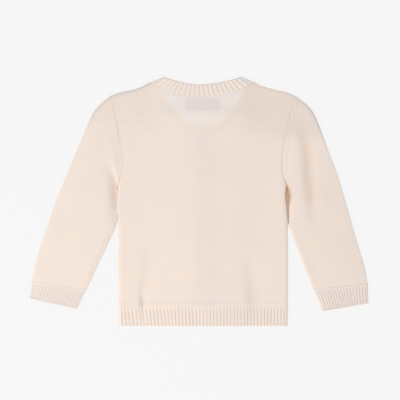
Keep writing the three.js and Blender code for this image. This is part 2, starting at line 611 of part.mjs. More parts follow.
add('buttonhole_band', frontBand(LOW_BAND_Z), RIBBED);
for (let i = 0; i < BUTTONS; i += 1) {
  add(`button_${i + 1}`, button(), SHELL, [CENTRE_X, TOP_BUTTON_Y - i * BUTTON_STEP, 0]);
}
add('neck_label', neckLabel(), TAPE);

export default garment;
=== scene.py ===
# Knitted baby cardigan laid flat with its back up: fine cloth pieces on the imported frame.
# Tables are in millimetres, in the frame's axes: +X to the wearer's right, +Y to the neck, +Z up.
import math

import bpy
import numpy as np
from mathutils import Matrix, Vector


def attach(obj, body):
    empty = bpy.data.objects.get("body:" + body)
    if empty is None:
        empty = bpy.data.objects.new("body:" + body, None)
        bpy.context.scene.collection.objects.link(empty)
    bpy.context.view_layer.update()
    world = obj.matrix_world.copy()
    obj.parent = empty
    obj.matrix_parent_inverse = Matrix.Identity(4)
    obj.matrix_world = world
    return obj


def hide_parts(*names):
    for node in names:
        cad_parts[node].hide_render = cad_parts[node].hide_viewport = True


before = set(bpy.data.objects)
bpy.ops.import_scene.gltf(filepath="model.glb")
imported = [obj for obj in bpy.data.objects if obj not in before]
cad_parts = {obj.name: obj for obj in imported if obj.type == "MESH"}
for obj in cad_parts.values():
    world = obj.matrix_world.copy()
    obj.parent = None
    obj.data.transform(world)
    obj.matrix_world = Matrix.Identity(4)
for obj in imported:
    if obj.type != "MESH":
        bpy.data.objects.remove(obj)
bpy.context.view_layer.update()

MM = 0.001

# ------------------------------------------------------------------ sizes and tables
WALL, RIB, MID, LIP = 2.0, 2.4, 3.0, 1.2
BODY_TOP, SLEEVE_TOP = 7.0, 7.2
EDGE_R = 6.0
HEM_Y, HEM_RIB_H = -174.7, 29.4
HEM_SEAM_Y = HEM_Y + HEM_RIB_H
CENTRE_X, BAND_W, BAND_RAMP = 5.8, 30.0, 34.0
BAND_L, BAND_R = CENTRE_X - BAND_W / 2, CENTRE_X + BAND_W / 2
LOW_BAND_Z, HIGH_BAND_Z = 2.7, 5.4
BUTTON_D, BUTTON_T = 12.0, 2.4
TOP_BUTTON_Y, BUTTON_STEP, BUTTONS = 98.2, 64.6, 5
LABEL_W, LABEL_H, LABEL_T, LABEL_Y, LABEL_DROP = 50.0, 18.0, 0.9, 143.8, 1.1
UNDERARM_Y, SHOULDER_Y = 20.6, 147.2

SIDE = np.array([
    (-174.7, -112.0, 124.0), (-145.3, -113.0, 124.6), (-90.0, -113.2, 124.8), (-31.0, -113.2, 124.4),
    (-5.0, -113.3, 122.2), (10.0, -113.4, 120.9), (20.6, -113.6, 122.3), (35.3, -109.6, 118.6),
    (46.5, -107.4, 116.9), (60.0, -106.9, 116.8), (80.0, -109.2, 119.4), (101.0, -112.9, 123.4),
    (124.0, -117.8, 129.2), (147.2, -124.6, 135.5)])
SHOULDER_LEFT = np.array([(-68.6, 166.9), (-74.2, 163.4), (-86.8, 157.8), (-98.0, 154.9), (-110.6, 152.3), (-124.6, 147.2)])
SHOULDER_RIGHT = np.array([(77.7, 167.2), (84.0, 163.4), (100.8, 157.8), (112.7, 154.9), (124.6, 152.3), (135.5, 147.2)])
# Neckband rulings: free edge x, y, then seam x, y.
NECK_BACK = np.array([
    (-49.3, 174.0, -68.6, 166.9), (-43.0, 171.8, -58.6, 161.2), (-33.6, 169.0, -44.6, 154.6),
    (-16.8, 165.0, -22.6, 149.2), (0.7, 162.9, 2.1, 146.8), (21.0, 165.0, 27.4, 149.2),
    (42.0, 169.0, 52.0, 154.6), (52.6, 171.9, 66.8, 161.2), (59.8, 174.3, 77.7, 167.2)])
NECK_FRONT_LEFT = np.array([
    (-51.4, 165.0, -67.9, 158.6), (-51.2, 154.8, -66.0, 147.2), (-47.2, 144.6, -60.4, 134.8),
    (-36.6, 131.2, -48.4, 119.8), (-19.6, 115.6, -28.6, 102.6), (-8.4, 108.8, -12.4, 93.8),
    (4.9, 106.0, 4.9, 90.5), (20.5, 108.8, 20.8, 93.2)])
NECK_FRONT_RIGHT = np.array([
    (61.7, 165.0, 77.0, 158.6), (61.2, 154.0, 75.4, 147.2), (56.7, 142.6, 70.0, 134.2),
    (46.0, 131.0, 58.0, 119.6), (30.8, 115.6, 39.2, 102.6), (19.4, 108.6, 23.4, 93.8),
    (4.9, 106.0, 4.9, 90.5), (-9.2, 108.9, -9.2, 93.2)])
# Sleeve and cuff sections: outer edge x, y, then inner edge x, y.
SLEEVE = {
    "left": np.array([
        (-124.6, 147.2, -114.2, 20.6), (-139.0, 135.0, -114.8, 12.9), (-150.5, 120.0, -115.4, 3.8),
        (-162.0, 92.7, -115.5, -9.8), (-174.3, 64.0, -114.9, -22.8), (-186.6, 34.0, -117.0, -37.0),
        (-200.5, 0.3, -125.0, -54.3), (-208.2, -22.0, -130.5, -66.8), (-216.3, -45.1, -137.1, -80.1),
        (-224.1, -68.3, -143.8, -94.1), (-229.7, -89.3, -149.7, -107.4), (-233.8, -112.1, -157.4, -123.7)]),
    "right": np.array([
        (135.5, 147.2, 123.3, 20.6), (151.6, 135.0, 125.7, 12.3), (162.4, 120.0, 126.3, 3.1),
        (173.4, 92.7, 125.9, -11.2), (184.2, 64.0, 125.7, -24.8), (195.4, 34.0, 127.8, -39.4),
        (205.4, 0.3, 133.4, -56.3), (211.8, -22.0, 138.0, -68.3), (218.4, -45.1, 142.8, -80.8),
        (225.2, -68.3, 147.4, -94.1), (231.8, -89.3, 152.6, -106.0), (236.6, -115.1, 158.8, -123.5)])}
CUFF = {
    "left": np.array([(-233.8, -112.1, -157.4, -123.7), (-236.0, -124.9, -163.8, -136.1), (-238.0, -135.7, -170.1, -150.8)]),
    "right": np.array([(236.6, -115.1, 158.8, -123.5), (237.4, -128.4, 165.2, -136.1), (238.0, -142.4, 171.9, -154.1)])}
ARMHOLE_FADE = [1.0, 0.78, 0.56, 0.36, 0.18, 0.06, 0.0]

# Creases: x, y, depth (below 0 is a ridge), half width on the left and on the right of
# the direction of travel. Each one fades out at its ends.
CREASES = {
    "back": [
        [(-66.0, -18.0, 0.0, 16, 10), (-69.0, -50.0, 0.7, 16, 9), (-72.0, -85.0, 1.4, 14, 7), (-75.2, -112.0, 1.9, 13, 6.2), (-78.5, -140.0, 1.1, 9, 5), (-78.0, -160.0, 0.3, 5, 3)],
        [(-82.0, -114.0, 0.0, 6, 3.4), (-81.4, -127.0, 0.7, 7.5, 3.4), (-78.4, -137.0, 2.4, 5.5, 4.2), (-78.2, -143.0, 1.9, 4.5, 3.4), (-78.4, -152.0, 0.7, 3.4, 2.2), (-77.0, -174.0, 0.2, 2.0, 1.4)],
        [(69.0, -64.0, 0.0, 12, 9), (71.0, -88.0, 1.2, 15, 9), (73.5, -108.0, 2.0, 17, 9.5), (75.5, -126.0, 2.6, 16, 9), (76.0, -142.0, 2.0, 12, 8), (76.0, -162.0, 0.5, 7, 5)],
        [(-126.0, 48.0, 0.9, 5, 10), (-119.6, 31.0, 2.3, 3.8, 9.5), (-117.4, 20.0, 3.1, 3.2, 9.0), (-116.8, 8.0, 3.2, 3.0, 8.5), (-116.9, -4.0, 2.4, 3.0, 8.0), (-117.2, -16.0, 1.7, 2.8, 6.5), (-119.0, -36.0, 0.0, 2.4, 5)],
        [(-104.0, 84.0, 0.0, 12, 12), (-96.0, 50.0, 0.4, 14, 12), (-92.0, 10.0, 0.0, 12, 12)],
        [(106.0, 84.0, 0.0, 12, 12), (102.0, 52.0, 0.5, 12, 12), (98.0, 20.0, 0.0, 10, 10)],
        [(-40.0, 96.0, 0.0, 18, 16), (-52.0, 40.0, 0.35, 20, 18), (-50.0, -30.0, 0.0, 16, 16)],
    ],
    "front": [
        [(-70.0, -30.0, 0.0, 10, 9), (-74.0, -80.0, 0.5, 10, 8), (-80.0, -140.0, 0.0, 7, 6)],
        [(80.0, 30.0, 0.0, 10, 9), (84.0, -30.0, 0.5, 10, 9), (82.0, -90.0, 0.0, 8, 8)],
    ],
    "left": [
        [(-134.0, 68.0, 0.0, 6, 10), (-126.0, 48.0, 0.9, 5, 10), (-119.6, 31.0, 2.3, 3.8, 9.5), (-117.4, 20.0, 3.1, 3.2, 9.0), (-116.8, 8.0, 3.2, 3.0, 8.5), (-116.9, -4.0, 2.4, 3.0, 8.0), (-117.2, -16.0, 1.7, 2.8, 6.5), (-119.0, -36.0, 0.0, 2.4, 5)],
        [(-121.0, 120.0, 0.0, 8, 10), (-132.0, 92.0, 0.7, 9, 11), (-140.0, 58.0, 0.3, 10, 10), (-142.0, 30.0, 0.0, 10, 10)],
        [(-186.0, 10.0, 0.0, 10, 12), (-194.0, -26.0, 0.45, 12, 12), (-205.0, -70.0, 0.0, 12, 12)],
        [(-140.0, -20.0, 0.0, 12, 9), (-150.0, -48.0, 0.4, 12, 9), (-158.0, -80.0, 0.0, 10, 8)],
    ],
    "right": [
        [(136.0, 128.0, 0.0, 10, 11), (141.0, 112.0, 0.9, 11, 11), (147.0, 92.0, 2.0, 11, 10), (150.5, 74.0, 2.6, 10, 9), (152.8, 44.0, 3.0, 9.5, 8), (155.5, 12.0, 2.6, 9.5, 8), (158.0, -12.0, 1.4, 9, 7), (163.0, -40.0, 0.0, 8, 7)],
        [(144.0, -42.0, 0.0, 8, 8), (154.0, -70.0, 0.5, 8, 8), (164.0, -100.0, 0.6, 9, 8), (168.0, -122.0, 0.0, 8, 8)],
        [(206.0, -20.0, 0.0, 12, 10), (214.0, -60.0, 0.5, 12, 10), (222.0, -100.0, 0.0, 10, 8)],
    ],
}


def clamp01(t):
    return np.clip(t, 0.0, 1.0)


def smooth(t):
    s = clamp01(np.asarray(t, float))
    return s * s * (3 - 2 * s)


def along_table(rows, t):
    """Smooth curve through every column of a table; t runs from 0 to 1 over its rows."""
    t = np.atleast_1d(np.asarray(t, float))
    n = len(rows)
    s = clamp01(t) * (n - 1)
    i = np.minimum(n - 2, np.floor(s)).astype(int)
    f = (s - i)[:, None]
    a, b, c, d = (rows[np.clip(i + k, 0, n - 1)] for k in (-1, 0, 1, 2))
    return b + 0.5 * f * (c - a + f * (2 * a - 5 * b + 4 * c - d + f * (3 * (b - c) + d - a)))


def monotone(xs, ys, x):
    """Smooth curve through (xs, ys) that never overshoots."""
    xs, ys, x = (np.asarray(v, float) for v in (xs, ys, x))
    if xs[0] > xs[-1]:
        xs, ys = xs[::-1], ys[::-1]
    h, d = np.diff(xs), np.diff(ys) / np.diff(xs)
    m = np.zeros(len(xs))
    m[0], m[-1] = d[0], d[-1]
    for k in range(1, len(xs) - 1):
        if d[k - 1] * d[k] > 0:
            w1, w2 = 2 * h[k] + h[k - 1], h[k] + 2 * h[k - 1]
            m[k] = (w1 + w2) / (w1 / d[k - 1] + w2 / d[k])
    x = np.clip(x, xs[0], xs[-1])
    i = np.clip(np.searchsorted(xs, x, side="right") - 1, 0, len(xs) - 2)
    t = (x - xs[i]) / h[i]
    return ((1 + 2 * t) * (1 - t) ** 2 * ys[i] + t * (1 - t) ** 2 * h[i] * m[i]
            + t * t * (3 - 2 * t) * ys[i + 1] + t * t * (t - 1) * h[i] * m[i + 1])


def side_x(y, side):
    return monotone(SIDE[:, 0], SIDE[:, 1 if side == "left" else 2], y)


def nearest(x, y, line):
    """Distance to a polyline, the fraction along the nearest segment, its index, and the signed side."""
    best = np.full(np.shape(x), 1e9)
    where = np.zeros(np.shape(x), int)
    frac = np.zeros(np.shape(x))
    hand = np.zeros(np.shape(x))
    for k in range(len(line) - 1):
        ax, ay, bx, by = *line[k][:2], *line[k + 1][:2]
        dx, dy = bx - ax, by - ay
        t = clamp01(((x - ax) * dx + (y - ay) * dy) / (dx * dx + dy * dy))
        d = np.hypot(x - ax - t * dx, y - ay - t * dy)
        side = dx * (y - ay) - dy * (x - ax)
        m = d < best
        best, where, frac, hand = (np.where(m, p, q) for p, q in ((d, best), (k, where), (t, frac), (side, hand)))
    return best, where.astype(int), frac, hand


def crease_depth(piece, x, y):
    total = np.zeros(np.shape(x))
    for crease in CREASES[piece]:
        c = np.array(crease, float)
        d, k, t, hand = nearest(x, y, c)
        depth = c[k, 2] * (1 - smooth(t)) + c[k + 1, 2] * smooth(t)
        left = c[k, 3] * (1 - t) + c[k + 1, 3] * t
        right = c[k, 4] * (1 - t) + c[k + 1, 4] * t
        blend = smooth(0.5 + 0.5 * np.clip(hand / (np.abs(hand) + 40.0), -1, 1))
        width = right + (left - right) * blend
        total += depth * np.exp(-((d / width) ** 2))
    return total


rng = np.random.default_rng(20)
WAVES = {key: [(rng.uniform(0, 2 * math.pi), rng.uniform(0.7, 1.3), rng.uniform(0, 2 * math.pi), rng.uniform(0.5, 1.0)) for _ in range(7)]
         for key in ("back", "front", "left", "right", "hem", "edge")}


def sway(key, x, y, length):
    """Gentle seeded unevenness between about -1 and 1, with waves of about this length."""
    total = 0
    for turn, scale, phase, gain in WAVES[key]:
        k = 2 * math.pi / (length * scale)
        total = total + gain * np.sin(k * (x * math.cos(turn) + y * math.sin(turn)) + phase)
    return total / 3.2


# ------------------------------------------------------------------ heights
def shoulder_line(side):
    pts = SHOULDER_LEFT if side == "left" else SHOULDER_RIGHT
    xs = np.linspace(pts[0, 0], pts[-1, 0], 40)
    return np.stack([xs, monotone(pts[:, 0], pts[:, 1], xs)], 1)


FOLDED = []
for which in ("left", "right"):
    ys_ = np.linspace(HEM_Y, UNDERARM_Y, 60)
    FOLDED.append(np.stack([side_x(ys_, which), ys_], 1))
    FOLDED.append(shoulder_line(which))


def folded_distance(x, y):
    return np.minimum.reduce([nearest(x, y, line)[0] for line in FOLDED])


def close_left(y):
    """1 beside the left underarm, where the body and the sleeve lie closed up against each other."""
    return smooth((y + 31) / 9) * smooth((24 - y) / 6)


def fold_radius(x, y):
    """How softly the back turns over at its edge: widest along the shoulders."""
    r = EDGE_R + 4.5 * smooth((y - 132) / 14) * smooth((np.abs(x - CENTRE_X) - 78) / 18)
    return r + (0.45 - r) * close_left(y) * (x < 0)


def yoke_drop(x, y):
    """The shoulders fall away a little, the wearer's right one more."""
    out = smooth((np.abs(x - CENTRE_X) - 46) / 34)
    return out * np.where(x < 0, 2.0 * smooth((y - 96) / 56), 3.6 * smooth((y - 82) / 70))


def yoke_shade(x, y):
    """Painted shade over the yoke, a little darker towards the shoulders, most on the wearer's right."""
    right = smooth((x + 60) / 190)
    edge = 104 + 5 * np.sin(x / 31.0) - 14 * right
    out = smooth((np.abs(x - CENTRE_X) - 44) / 46)
    return smooth((y - edge + 10) / 24) * out * (0.26 + 0.30 * right)


def shoulder_shade(x, y):
    """Cool shade where the cloth turns over along the shoulders."""
    d = np.minimum(nearest(x, y, shoulder_line("left"))[0], nearest(x, y, shoulder_line("right"))[0] * 0.85)
    return 0.78 * np.exp(-((d / 3.0) ** 2)) + 0.2 * np.exp(-d / 8.0)


def round_edge(d, radius=EDGE_R):
    t = 1 - clamp01(d / radius)
    return np.sqrt(np.maximum(0, 1 - t * t))


def rise_left(x):
    return HIGH_BAND_Z * smooth((x - BAND_L + BAND_RAMP) / BAND_RAMP)


def rise_right(x):
    return LOW_BAND_Z * smooth((BAND_R + BAND_RAMP - x) / BAND_RAMP)


def ridge(x):
    return smooth((98 - np.abs(x - CENTRE_X)) / 84)


def armhole_distance(x, y):
    """Distance to the nearer armhole seam, and its side; far away below the underarm."""
    out = []
    for side in ("left", "right"):
        d = np.abs(x - side_x(y, side)) * 0.97
        out.append(np.where(y > UNDERARM_Y - 1, d, np.hypot(d, y - UNDERARM_Y)))
    return out


def seam_strength(side, y):
    """How deep the armhole seam is drawn in at height y."""
    if side == "left":
        return np.interp(y, [20, 48, 62, 78, 86, 114, 122, 147], [0.0, 0.0, 0.05, 0.16, 0.5, 0.5, 0.16, 0.05])
    return np.interp(y, [18, 24, 40, 60, 90, 120, 134, 147], [1.3, 1.1, 0.75, 0.6, 0.5, 0.4, 0.15, 0.1])


def back_heights(x, y, wall):
    e = round_edge(folded_distance(x, y), fold_radius(x, y))
    lift = smooth((146 - y) / 30)
    top = BODY_TOP + 3.5 * ridge(x) * lift - crease_depth("back", x, y) + 0.22 * sway("back", x, y, 90) * e
    top = top - yoke_drop(x, y)
    top = top + (wall - WALL)
    low = MID + 0.12 + (top - wall - MID - 0.12) * e
    high = MID + LIP + (top - MID - LIP) * e
    return low, high


def front_heights(x, y, wall, rise):
    e = round_edge(folded_distance(x, y))
    low = (MID - LIP) * (1 - e) + rise * e
    high = MID - 0.12 + (wall + rise - MID + 0.12) * e + 0.25 * (crease_depth("front", x, y) * -1) * e
    return low, high


# ------------------------------------------------------------------ meshes
def stations(length, edge, step, start=True, end=True):
    """Fractions over a length: close together beside its ends, and about step apart between."""
    n = max(2, int(round(length / step)))
    mid = np.linspace(0, 1, n + 1)
    out = set(mid.round(6))
    cut = edge[-1] / length
    out = {v for v in out if (v == 0 or v > cut or not start) and (v == 1 or v < 1 - cut or not end)}
    if start:
        out |= {round(d / length, 6) for d in edge}
    if end:
        out |= {round(1 - d / length, 6) for d in edge}
    return np.array(sorted(out))


EDGE = [0, 0.12, 0.35, 0.7, 1.2, 1.9, 2.8, 4.0, 5.5]
SEAM_EDGE = [0, 0.3, 0.8, 1.5, 2.6, 4.0]


def grid_normals(p, closed=False):
    """Unit normals of a grid of points, pointing up on a grid whose columns run along +X and rows along +Y."""
    if closed:
        du = np.roll(p, -1, 1) - np.roll(p, 1, 1)
    else:
        du = np.gradient(p, axis=1)
    dv = np.gradient(p, axis=0)
    n = np.cross(du, dv)
    return n / np.maximum(np.linalg.norm(n, axis=2, keepdims=True), 1e-9)


def make_mesh(name, points, faces, uv, values):
    me = bpy.data.meshes.new(name)
    me.from_pydata((np.asarray(points) * MM).tolist(), [], faces)
    v = np.asarray(points)
    tri = me.loop_triangles
    me.calc_loop_triangles()
    idx = np.empty(len(tri) * 3, int)
    tri.foreach_get("vertices", idx)
    a, b, c = (v[idx.reshape(-1, 3)[:, k]] for k in range(3))
    if (a * np.cross(b, c)).sum() < 0:
        me.flip_normals()
    me.polygons.foreach_set("use_smooth", [True] * len(me.polygons))
    layer = me.uv_layers.new(name="cloth")
    corner = np.empty(len(me.loops), int)
    me.loops.foreach_get("vertex_index", corner)
    layer.data.foreach_set("uv", (np.asarray(uv)[corner] * MM).astype(np.float32).ravel())
    for key, val in values.items():
        at = me.attributes.new(key, "FLOAT", "POINT")
        at.data.foreach_set("value", np.asarray(val, np.float32).ravel())
    me.update()
    me.set_sharp_from_angle(angle=math.radians(62))
    ob = bpy.data.objects.new(name, me)
    bpy.context.scene.collection.objects.link(ob)
    return ob


def shell(name, top, low, uv, values=None):
    """A closed sheet from an upper and a lower grid of the same shape."""
    n, m = top.shape[:2]
    pts = np.concatenate([top.reshape(-1, 3), low.reshape(-1, 3)])
    idx = np.arange(n * m).reshape(n, m)
    a, b, c, d = idx[:-1, :-1], idx[:-1, 1:], idx[1:, 1:], idx[1:, :-1]
    up = np.stack([a, b, c, d], -1).reshape(-1, 4)
    down = np.stack([a, d, c, b], -1).reshape(-1, 4) + n * m
    loop = np.concatenate([idx[0, :-1], idx[:-1, -1], idx[-1, :0:-1], idx[:0:-1, 0]])
    nxt = np.roll(loop, -1)
    rim = np.stack([loop + n * m, nxt + n * m, nxt, loop], -1)
    faces = np.concatenate([up, down, rim]).tolist()
    uv2 = np.concatenate([uv.reshape(-1, 2), uv.reshape(-1, 2)])
    vals = {k: np.concatenate([np.asarray(v).ravel()] * 2) for k, v in (values or {}).items()}
    return make_mesh(name, pts, faces, uv2, vals)


def tube(name, outer, inner, uv_o, uv_i, values=None):
    """A tube wall from matching outer and inner rings."""
    s, n = outer.shape[:2]
    pts = np.concatenate([outer.reshape(-1, 3), inner.reshape(-1, 3)])
    idx = np.arange(s * n).reshape(s, n)
    nx = np.roll(idx, -1, 1)
    a, b, c, d = idx[:-1], nx[:-1], nx[1:], idx[1:]
    out = np.stack([a, b, c, d], -1).reshape(-1, 4)
    inn = np.stack([a, d, c, b], -1).reshape(-1, 4) + s * n
    first = np.stack([idx[0], idx[0] + s * n, nx[0] + s * n, nx[0]], -1)
    last = np.stack([idx[-1], nx[-1], nx[-1] + s * n, idx[-1] + s * n], -1)
    faces = np.concatenate([out, inn, first, last]).tolist()
    uv2 = np.concatenate([uv_o.reshape(-1, 2), uv_i.reshape(-1, 2)])
    vals = {k: np.concatenate([np.asarray(v[0]).ravel(), np.asarray(v[1]).ravel()]) for k, v in (values or {}).items()}
    return make_mesh(name, pts, faces, uv2, vals)


def bar(name, rings, uv, values=None):
    """A solid bar through closed rings, capped at both ends."""
    s, n = rings.shape[:2]
    idx = np.arange(s * n).reshape(s, n)
    nx = np.roll(idx, -1, 1)
    faces = np.stack([idx[:-1], nx[:-1], nx[1:], idx[1:]], -1).reshape(-1, 4).tolist()
    faces += [idx[0][::-1].tolist(), idx[-1].tolist()]
    vals = {k: np.asarray(v).ravel() for k, v in (values or {}).items()}
    return make_mesh(name, rings.reshape(-1, 3), faces, uv.reshape(-1, 2), vals)


# One rib of the rib knit, from groove to groove: where it is sampled, and how deep it is there.
RIB_AT = np.array([0, 0.06, 0.13, 0.24, 0.38, 0.5, 0.62, 0.76, 0.87, 0.94])


def rib_groove(phase, pitch, narrow=0.62):
    """1 in the bottom of the groove between two ribs, 0 on a rib."""
    p = np.abs((phase + 0.5) % 1 - 0.5) * pitch
    return np.exp(-((p / narrow) ** 2))


def rib_shape(phase, pitch, narrow=0.62):
    """Depth of the rib knit at this phase, from 0 on a rib's crown to 1 in the groove."""
    return 0.68 * rib_groove(phase, pitch, narrow) + 0.32 * (1 - np.abs(np.sin(math.pi * phase)) ** 0.8)


# ------------------------------------------------------------------ materials
def lin(*rgb):
    return [((c / 255) / 12.92 if c / 255 <= 0.04045 else ((c / 255 + 0.055) / 1.055) ** 2.4) for c in rgb]


class Graph:
    def __init__(self, name):
        self.mat = bpy.data.materials.new(name)
        self.mat.use_nodes = True
        self.tree = self.mat.node_tree
        self.tree.nodes.clear()
        self.out = self.tree.nodes.new("ShaderNodeOutputMaterial")
        self.bsdf = self.tree.nodes.new("ShaderNodeBsdfPrincipled")
        self.link(self.bsdf.outputs["BSDF"], self.out.inputs["Surface"])

    def link(self, a, b):
        self.tree.links.new(a, b)

    def put(self, socket, value):
        if isinstance(value, bpy.types.NodeSocket):
            self.link(value, socket)
        else:
            socket.default_value = value

    def math(self, op, a, b=0.0, c=0.0, clamp=False):
        n = self.tree.nodes.new("ShaderNodeMath")
        n.operation, n.use_clamp = op, clamp
        for k, v in enumerate((a, b, c)):
            self.put(n.inputs[k], v)
        return n.outputs[0]

    def cloth_uv(self):
        uv = self.tree.nodes.new("ShaderNodeUVMap")
        uv.uv_map = "cloth"
        sep = self.tree.nodes.new("ShaderNodeSeparateXYZ")
        self.link(uv.outputs[0], sep.inputs[0])
        return self.math("MULTIPLY", sep.outputs[0], 1000.0), self.math("MULTIPLY", sep.outputs[1], 1000.0)

    def vector(self, x, y, z=0.0):
        n = self.tree.nodes.new("ShaderNodeCombineXYZ")
        for k, v in enumerate((x, y, z)):
            self.put(n.inputs[k], v)
        return n.outputs[0]

    def noise(self, vector, scale, detail=2.0, rough=0.5):
        n = self.tree.nodes.new("ShaderNodeTexNoise")
        self.put(n.inputs["Vector"], vector)
        n.inputs["Scale"].default_value = scale
        n.inputs["Detail"].default_value = detail
        n.inputs["Roughness"].default_value = rough
        return n.outputs["Fac"]

    def attribute(self, name):
        n = self.tree.nodes.new("ShaderNodeAttribute")
        n.attribute_type, n.attribute_name = "GEOMETRY", name
        return n.outputs["Fac"]

    def mix(self, fac, a, b, blend="MIX"):
        n = self.tree.nodes.new("ShaderNodeMix")
        n.data_type, n.blend_type = "RGBA", blend
        self.put(n.inputs[0], fac)
        self.put(n.inputs[6], a)
        self.put(n.inputs[7], b)
        return n.outputs[2]

    def scaled(self, colour, factor):
        n = self.tree.nodes.new("ShaderNodeVectorMath")
        n.operation = "SCALE"
        self.put(n.inputs[0], colour)
        self.put(n.inputs["Scale"], factor)
        return n.outputs[0]

    def bump(self, height, distance, strength=1.0):
        n = self.tree.nodes.new("ShaderNodeBump")
        n.inputs["Distance"].default_value = distance
        n.inputs["Strength"].default_value = strength
        self.put(n.inputs["Height"], height)
        return n.outputs["Normal"]


BASE = (240, 229, 217)          # the yarn, as it looks in even light
WARM = (246, 229, 215)
COOL = (242, 229, 220)


def cloth(name, kind, shade=1.0, relief=1.0):
    """Cotton knit: horizontal ridges on the main cloth, or fine stitches along the ribs."""
    g = Graph(name)
    u, v = g.cloth_uv()
    place = g.vector(u, v)
    # the yarn's own unevenness
    fibre = g.noise(place, 2.6, 3.0, 0.65)
    slub = g.noise(g.vector(g.math("MULTIPLY", u, 0.12), g.math("MULTIPLY", v, 0.9)), 1.0, 2.0, 0.5)
    cloud = g.noise(place, 0.021, 3.0, 0.55)
    patch = g.noise(g.vector(u, v, 40.0), 0.055, 2.0, 0.5)
    if kind == "knit":
        wander = g.math("MULTIPLY", g.math("SUBTRACT", g.noise(place, 0.05, 1.0), 0.5), 0.9)
        row = g.math("DIVIDE", g.math("ADD", v, wander), 3.6)
        ridge_ = g.math("MULTIPLY_ADD", g.math("COSINE", g.math("MULTIPLY", row, 2 * math.pi)), 0.5, 0.5)
        parity = g.math("MULTIPLY", g.math("FLOOR", g.math("ADD", row, 0.5)), math.pi)
        loop = g.math("MULTIPLY_ADD", g.math("COSINE", g.math("ADD", g.math("MULTIPLY", u, 2 * math.pi / 2.5), parity)), 0.5, 0.5)
        stitch = g.math("MULTIPLY", loop, g.math("MULTIPLY_ADD", ridge_, 0.6, 0.25))
        height = g.math("ADD", g.math("MULTIPLY", ridge_, 0.62), g.math("MULTIPLY", stitch, 0.38))
        distance, valley_shade_depth = 0.00013 * relief, 0.016 * relief
    else:
        row = g.math("DIVIDE", v, 2.1)
        lean = g.math("ABSOLUTE", g.math("SUBTRACT", g.math("FRACT", g.math("DIVIDE", u, 2.5)), 0.5))
        ridge_ = g.math("MULTIPLY_ADD", g.math("COSINE", g.math("MULTIPLY", g.math("ADD", row, lean), 2 * math.pi)), 0.5, 0.5)
        height = g.math("MULTIPLY", ridge_, 0.7)
        distance, valley_shade_depth = 0.00003, 0.004
    height = g.math("ADD", height, g.math("MULTIPLY", fibre, 0.35))
    strength = g.math("MULTIPLY_ADD", g.math("SUBTRACT", patch, 0.35), 3.4, 0.2, clamp=True)
    # painted shade: darker in the valleys between the ridges and stitches; the next three lines add the yarn's own
    # random tone
    valley_shade_and_yarn_tone = g.math("MULTIPLY", g.math("MULTIPLY", g.math("SUBTRACT", 1.0, ridge_), valley_shade_depth), strength)
    valley_shade_and_yarn_tone = g.math("ADD", valley_shade_and_yarn_tone, g.math("MULTIPLY", g.math("SUBTRACT", slub, 0.5), 0.03))
    valley_shade_and_yarn_tone = g.math("ADD", valley_shade_and_yarn_tone, g.math("MULTIPLY", g.math("SUBTRACT", fibre, 0.5), 0.04))
    valley_shade_and_yarn_tone = g.math("ADD", valley_shade_and_yarn_tone, g.math("MULTIPLY", g.math("SUBTRACT", cloud, 0.5), 0.05))
    tint = g.mix(g.math("MULTIPLY_ADD", g.math("SUBTRACT", patch, 0.5), 2.2, 0.5, clamp=True), [*lin(*WARM), 1], [*lin(*COOL), 1])
    # painted light: paler and cooler where the back lies over the neck opening and the floor's light shows through a
    # single layer; on the cuffs and neckband the same mask is a plain cooler tint of the yarn
    tint = g.mix(g.math("MULTIPLY", g.attribute("through"), 1.0), tint, [*lin(244, 234, 227), 1])
    # painted shadow of the label, seen through the back
    tint = g.mix(g.math("MULTIPLY", g.attribute("label"), 0.9), tint, [*lin(237, 226, 220), 1])
    # painted light: a paler rim along the right sleeve's outer edge, as if lit from behind
    tint = g.mix(g.attribute("painted_edge_light"), tint, [1.0, 0.97, 0.93, 1])
    groove = g.attribute("groove")
    colour = g.scaled(tint, g.math("MULTIPLY", g.math("SUBTRACT", 1.0, valley_shade_and_yarn_tone), shade))
    # painted shade: cooler and darker where the front bands and the fronts' neckband lie under the back
    colour = g.mix(g.attribute("painted_layer_shade"), colour, [0.965, 0.968, 0.985, 1], "MULTIPLY")
    # painted shade over the yoke, under the neckband, on the right sleeve and on the cuffs
    colour = g.mix(g.attribute("shade"), colour, [0.925, 0.915, 0.91, 1], "MULTIPLY")
    # painted cool shade along the turned edges: shoulders, sleeve heads, cuff edges and the neckband's free edge
    colour = g.mix(g.attribute("rim"), colour, [0.80, 0.825, 0.87, 1], "MULTIPLY")
    # painted shade: darker and warmer in the rib grooves, seams and creases
    colour = g.mix(groove, colour, [0.84, 0.75, 0.69, 1] if kind == "knit" else [0.80, 0.75, 0.725, 1], "MULTIPLY")
    # painted warm shade in the gap beside the wearer's right underarm
    colour = g.mix(g.attribute("deep"), colour, [0.76, 0.60, 0.47, 1], "MULTIPLY")
    g.put(g.bsdf.inputs["Base Color"], colour)
    g.put(g.bsdf.inputs["Roughness"], g.math("MULTIPLY_ADD", fibre, 0.14, 0.83))
    g.put(g.bsdf.inputs["Normal"], g.bump(height, distance))
    g.bsdf.inputs["Sheen Weight"].default_value = 0.12
    g.bsdf.inputs["Sheen Roughness"].default_value = 0.45
    g.bsdf.inputs["Specular IOR Level"].default_value = 0.18
    return g.mat


def shell_button(name):
    g = Graph(name)
    co = g.tree.nodes.new("ShaderNodeTexCoord").outputs["Object"]
    swirl = g.noise(co, 260.0, 3.0, 0.6)
    veil = g.noise(co, 700.0, 2.0, 0.5)
    tint = g.mix(swirl, [*lin(240, 233, 224), 1], [*lin(249, 246, 240), 1])
    g.put(g.bsdf.inputs["Base Color"], tint)
    g.put(g.bsdf.inputs["Roughness"], g.math("MULTIPLY_ADD", veil, 0.12, 0.2))
    g.put(g.bsdf.inputs["Normal"], g.bump(swirl, 0.00006))
    g.bsdf.inputs["Specular IOR Level"].default_value = 0.5
    g.bsdf.inputs["Coat Weight"].default_value = 0.25
    g.bsdf.inputs["Coat Roughness"].default_value = 0.12
    return g.mat


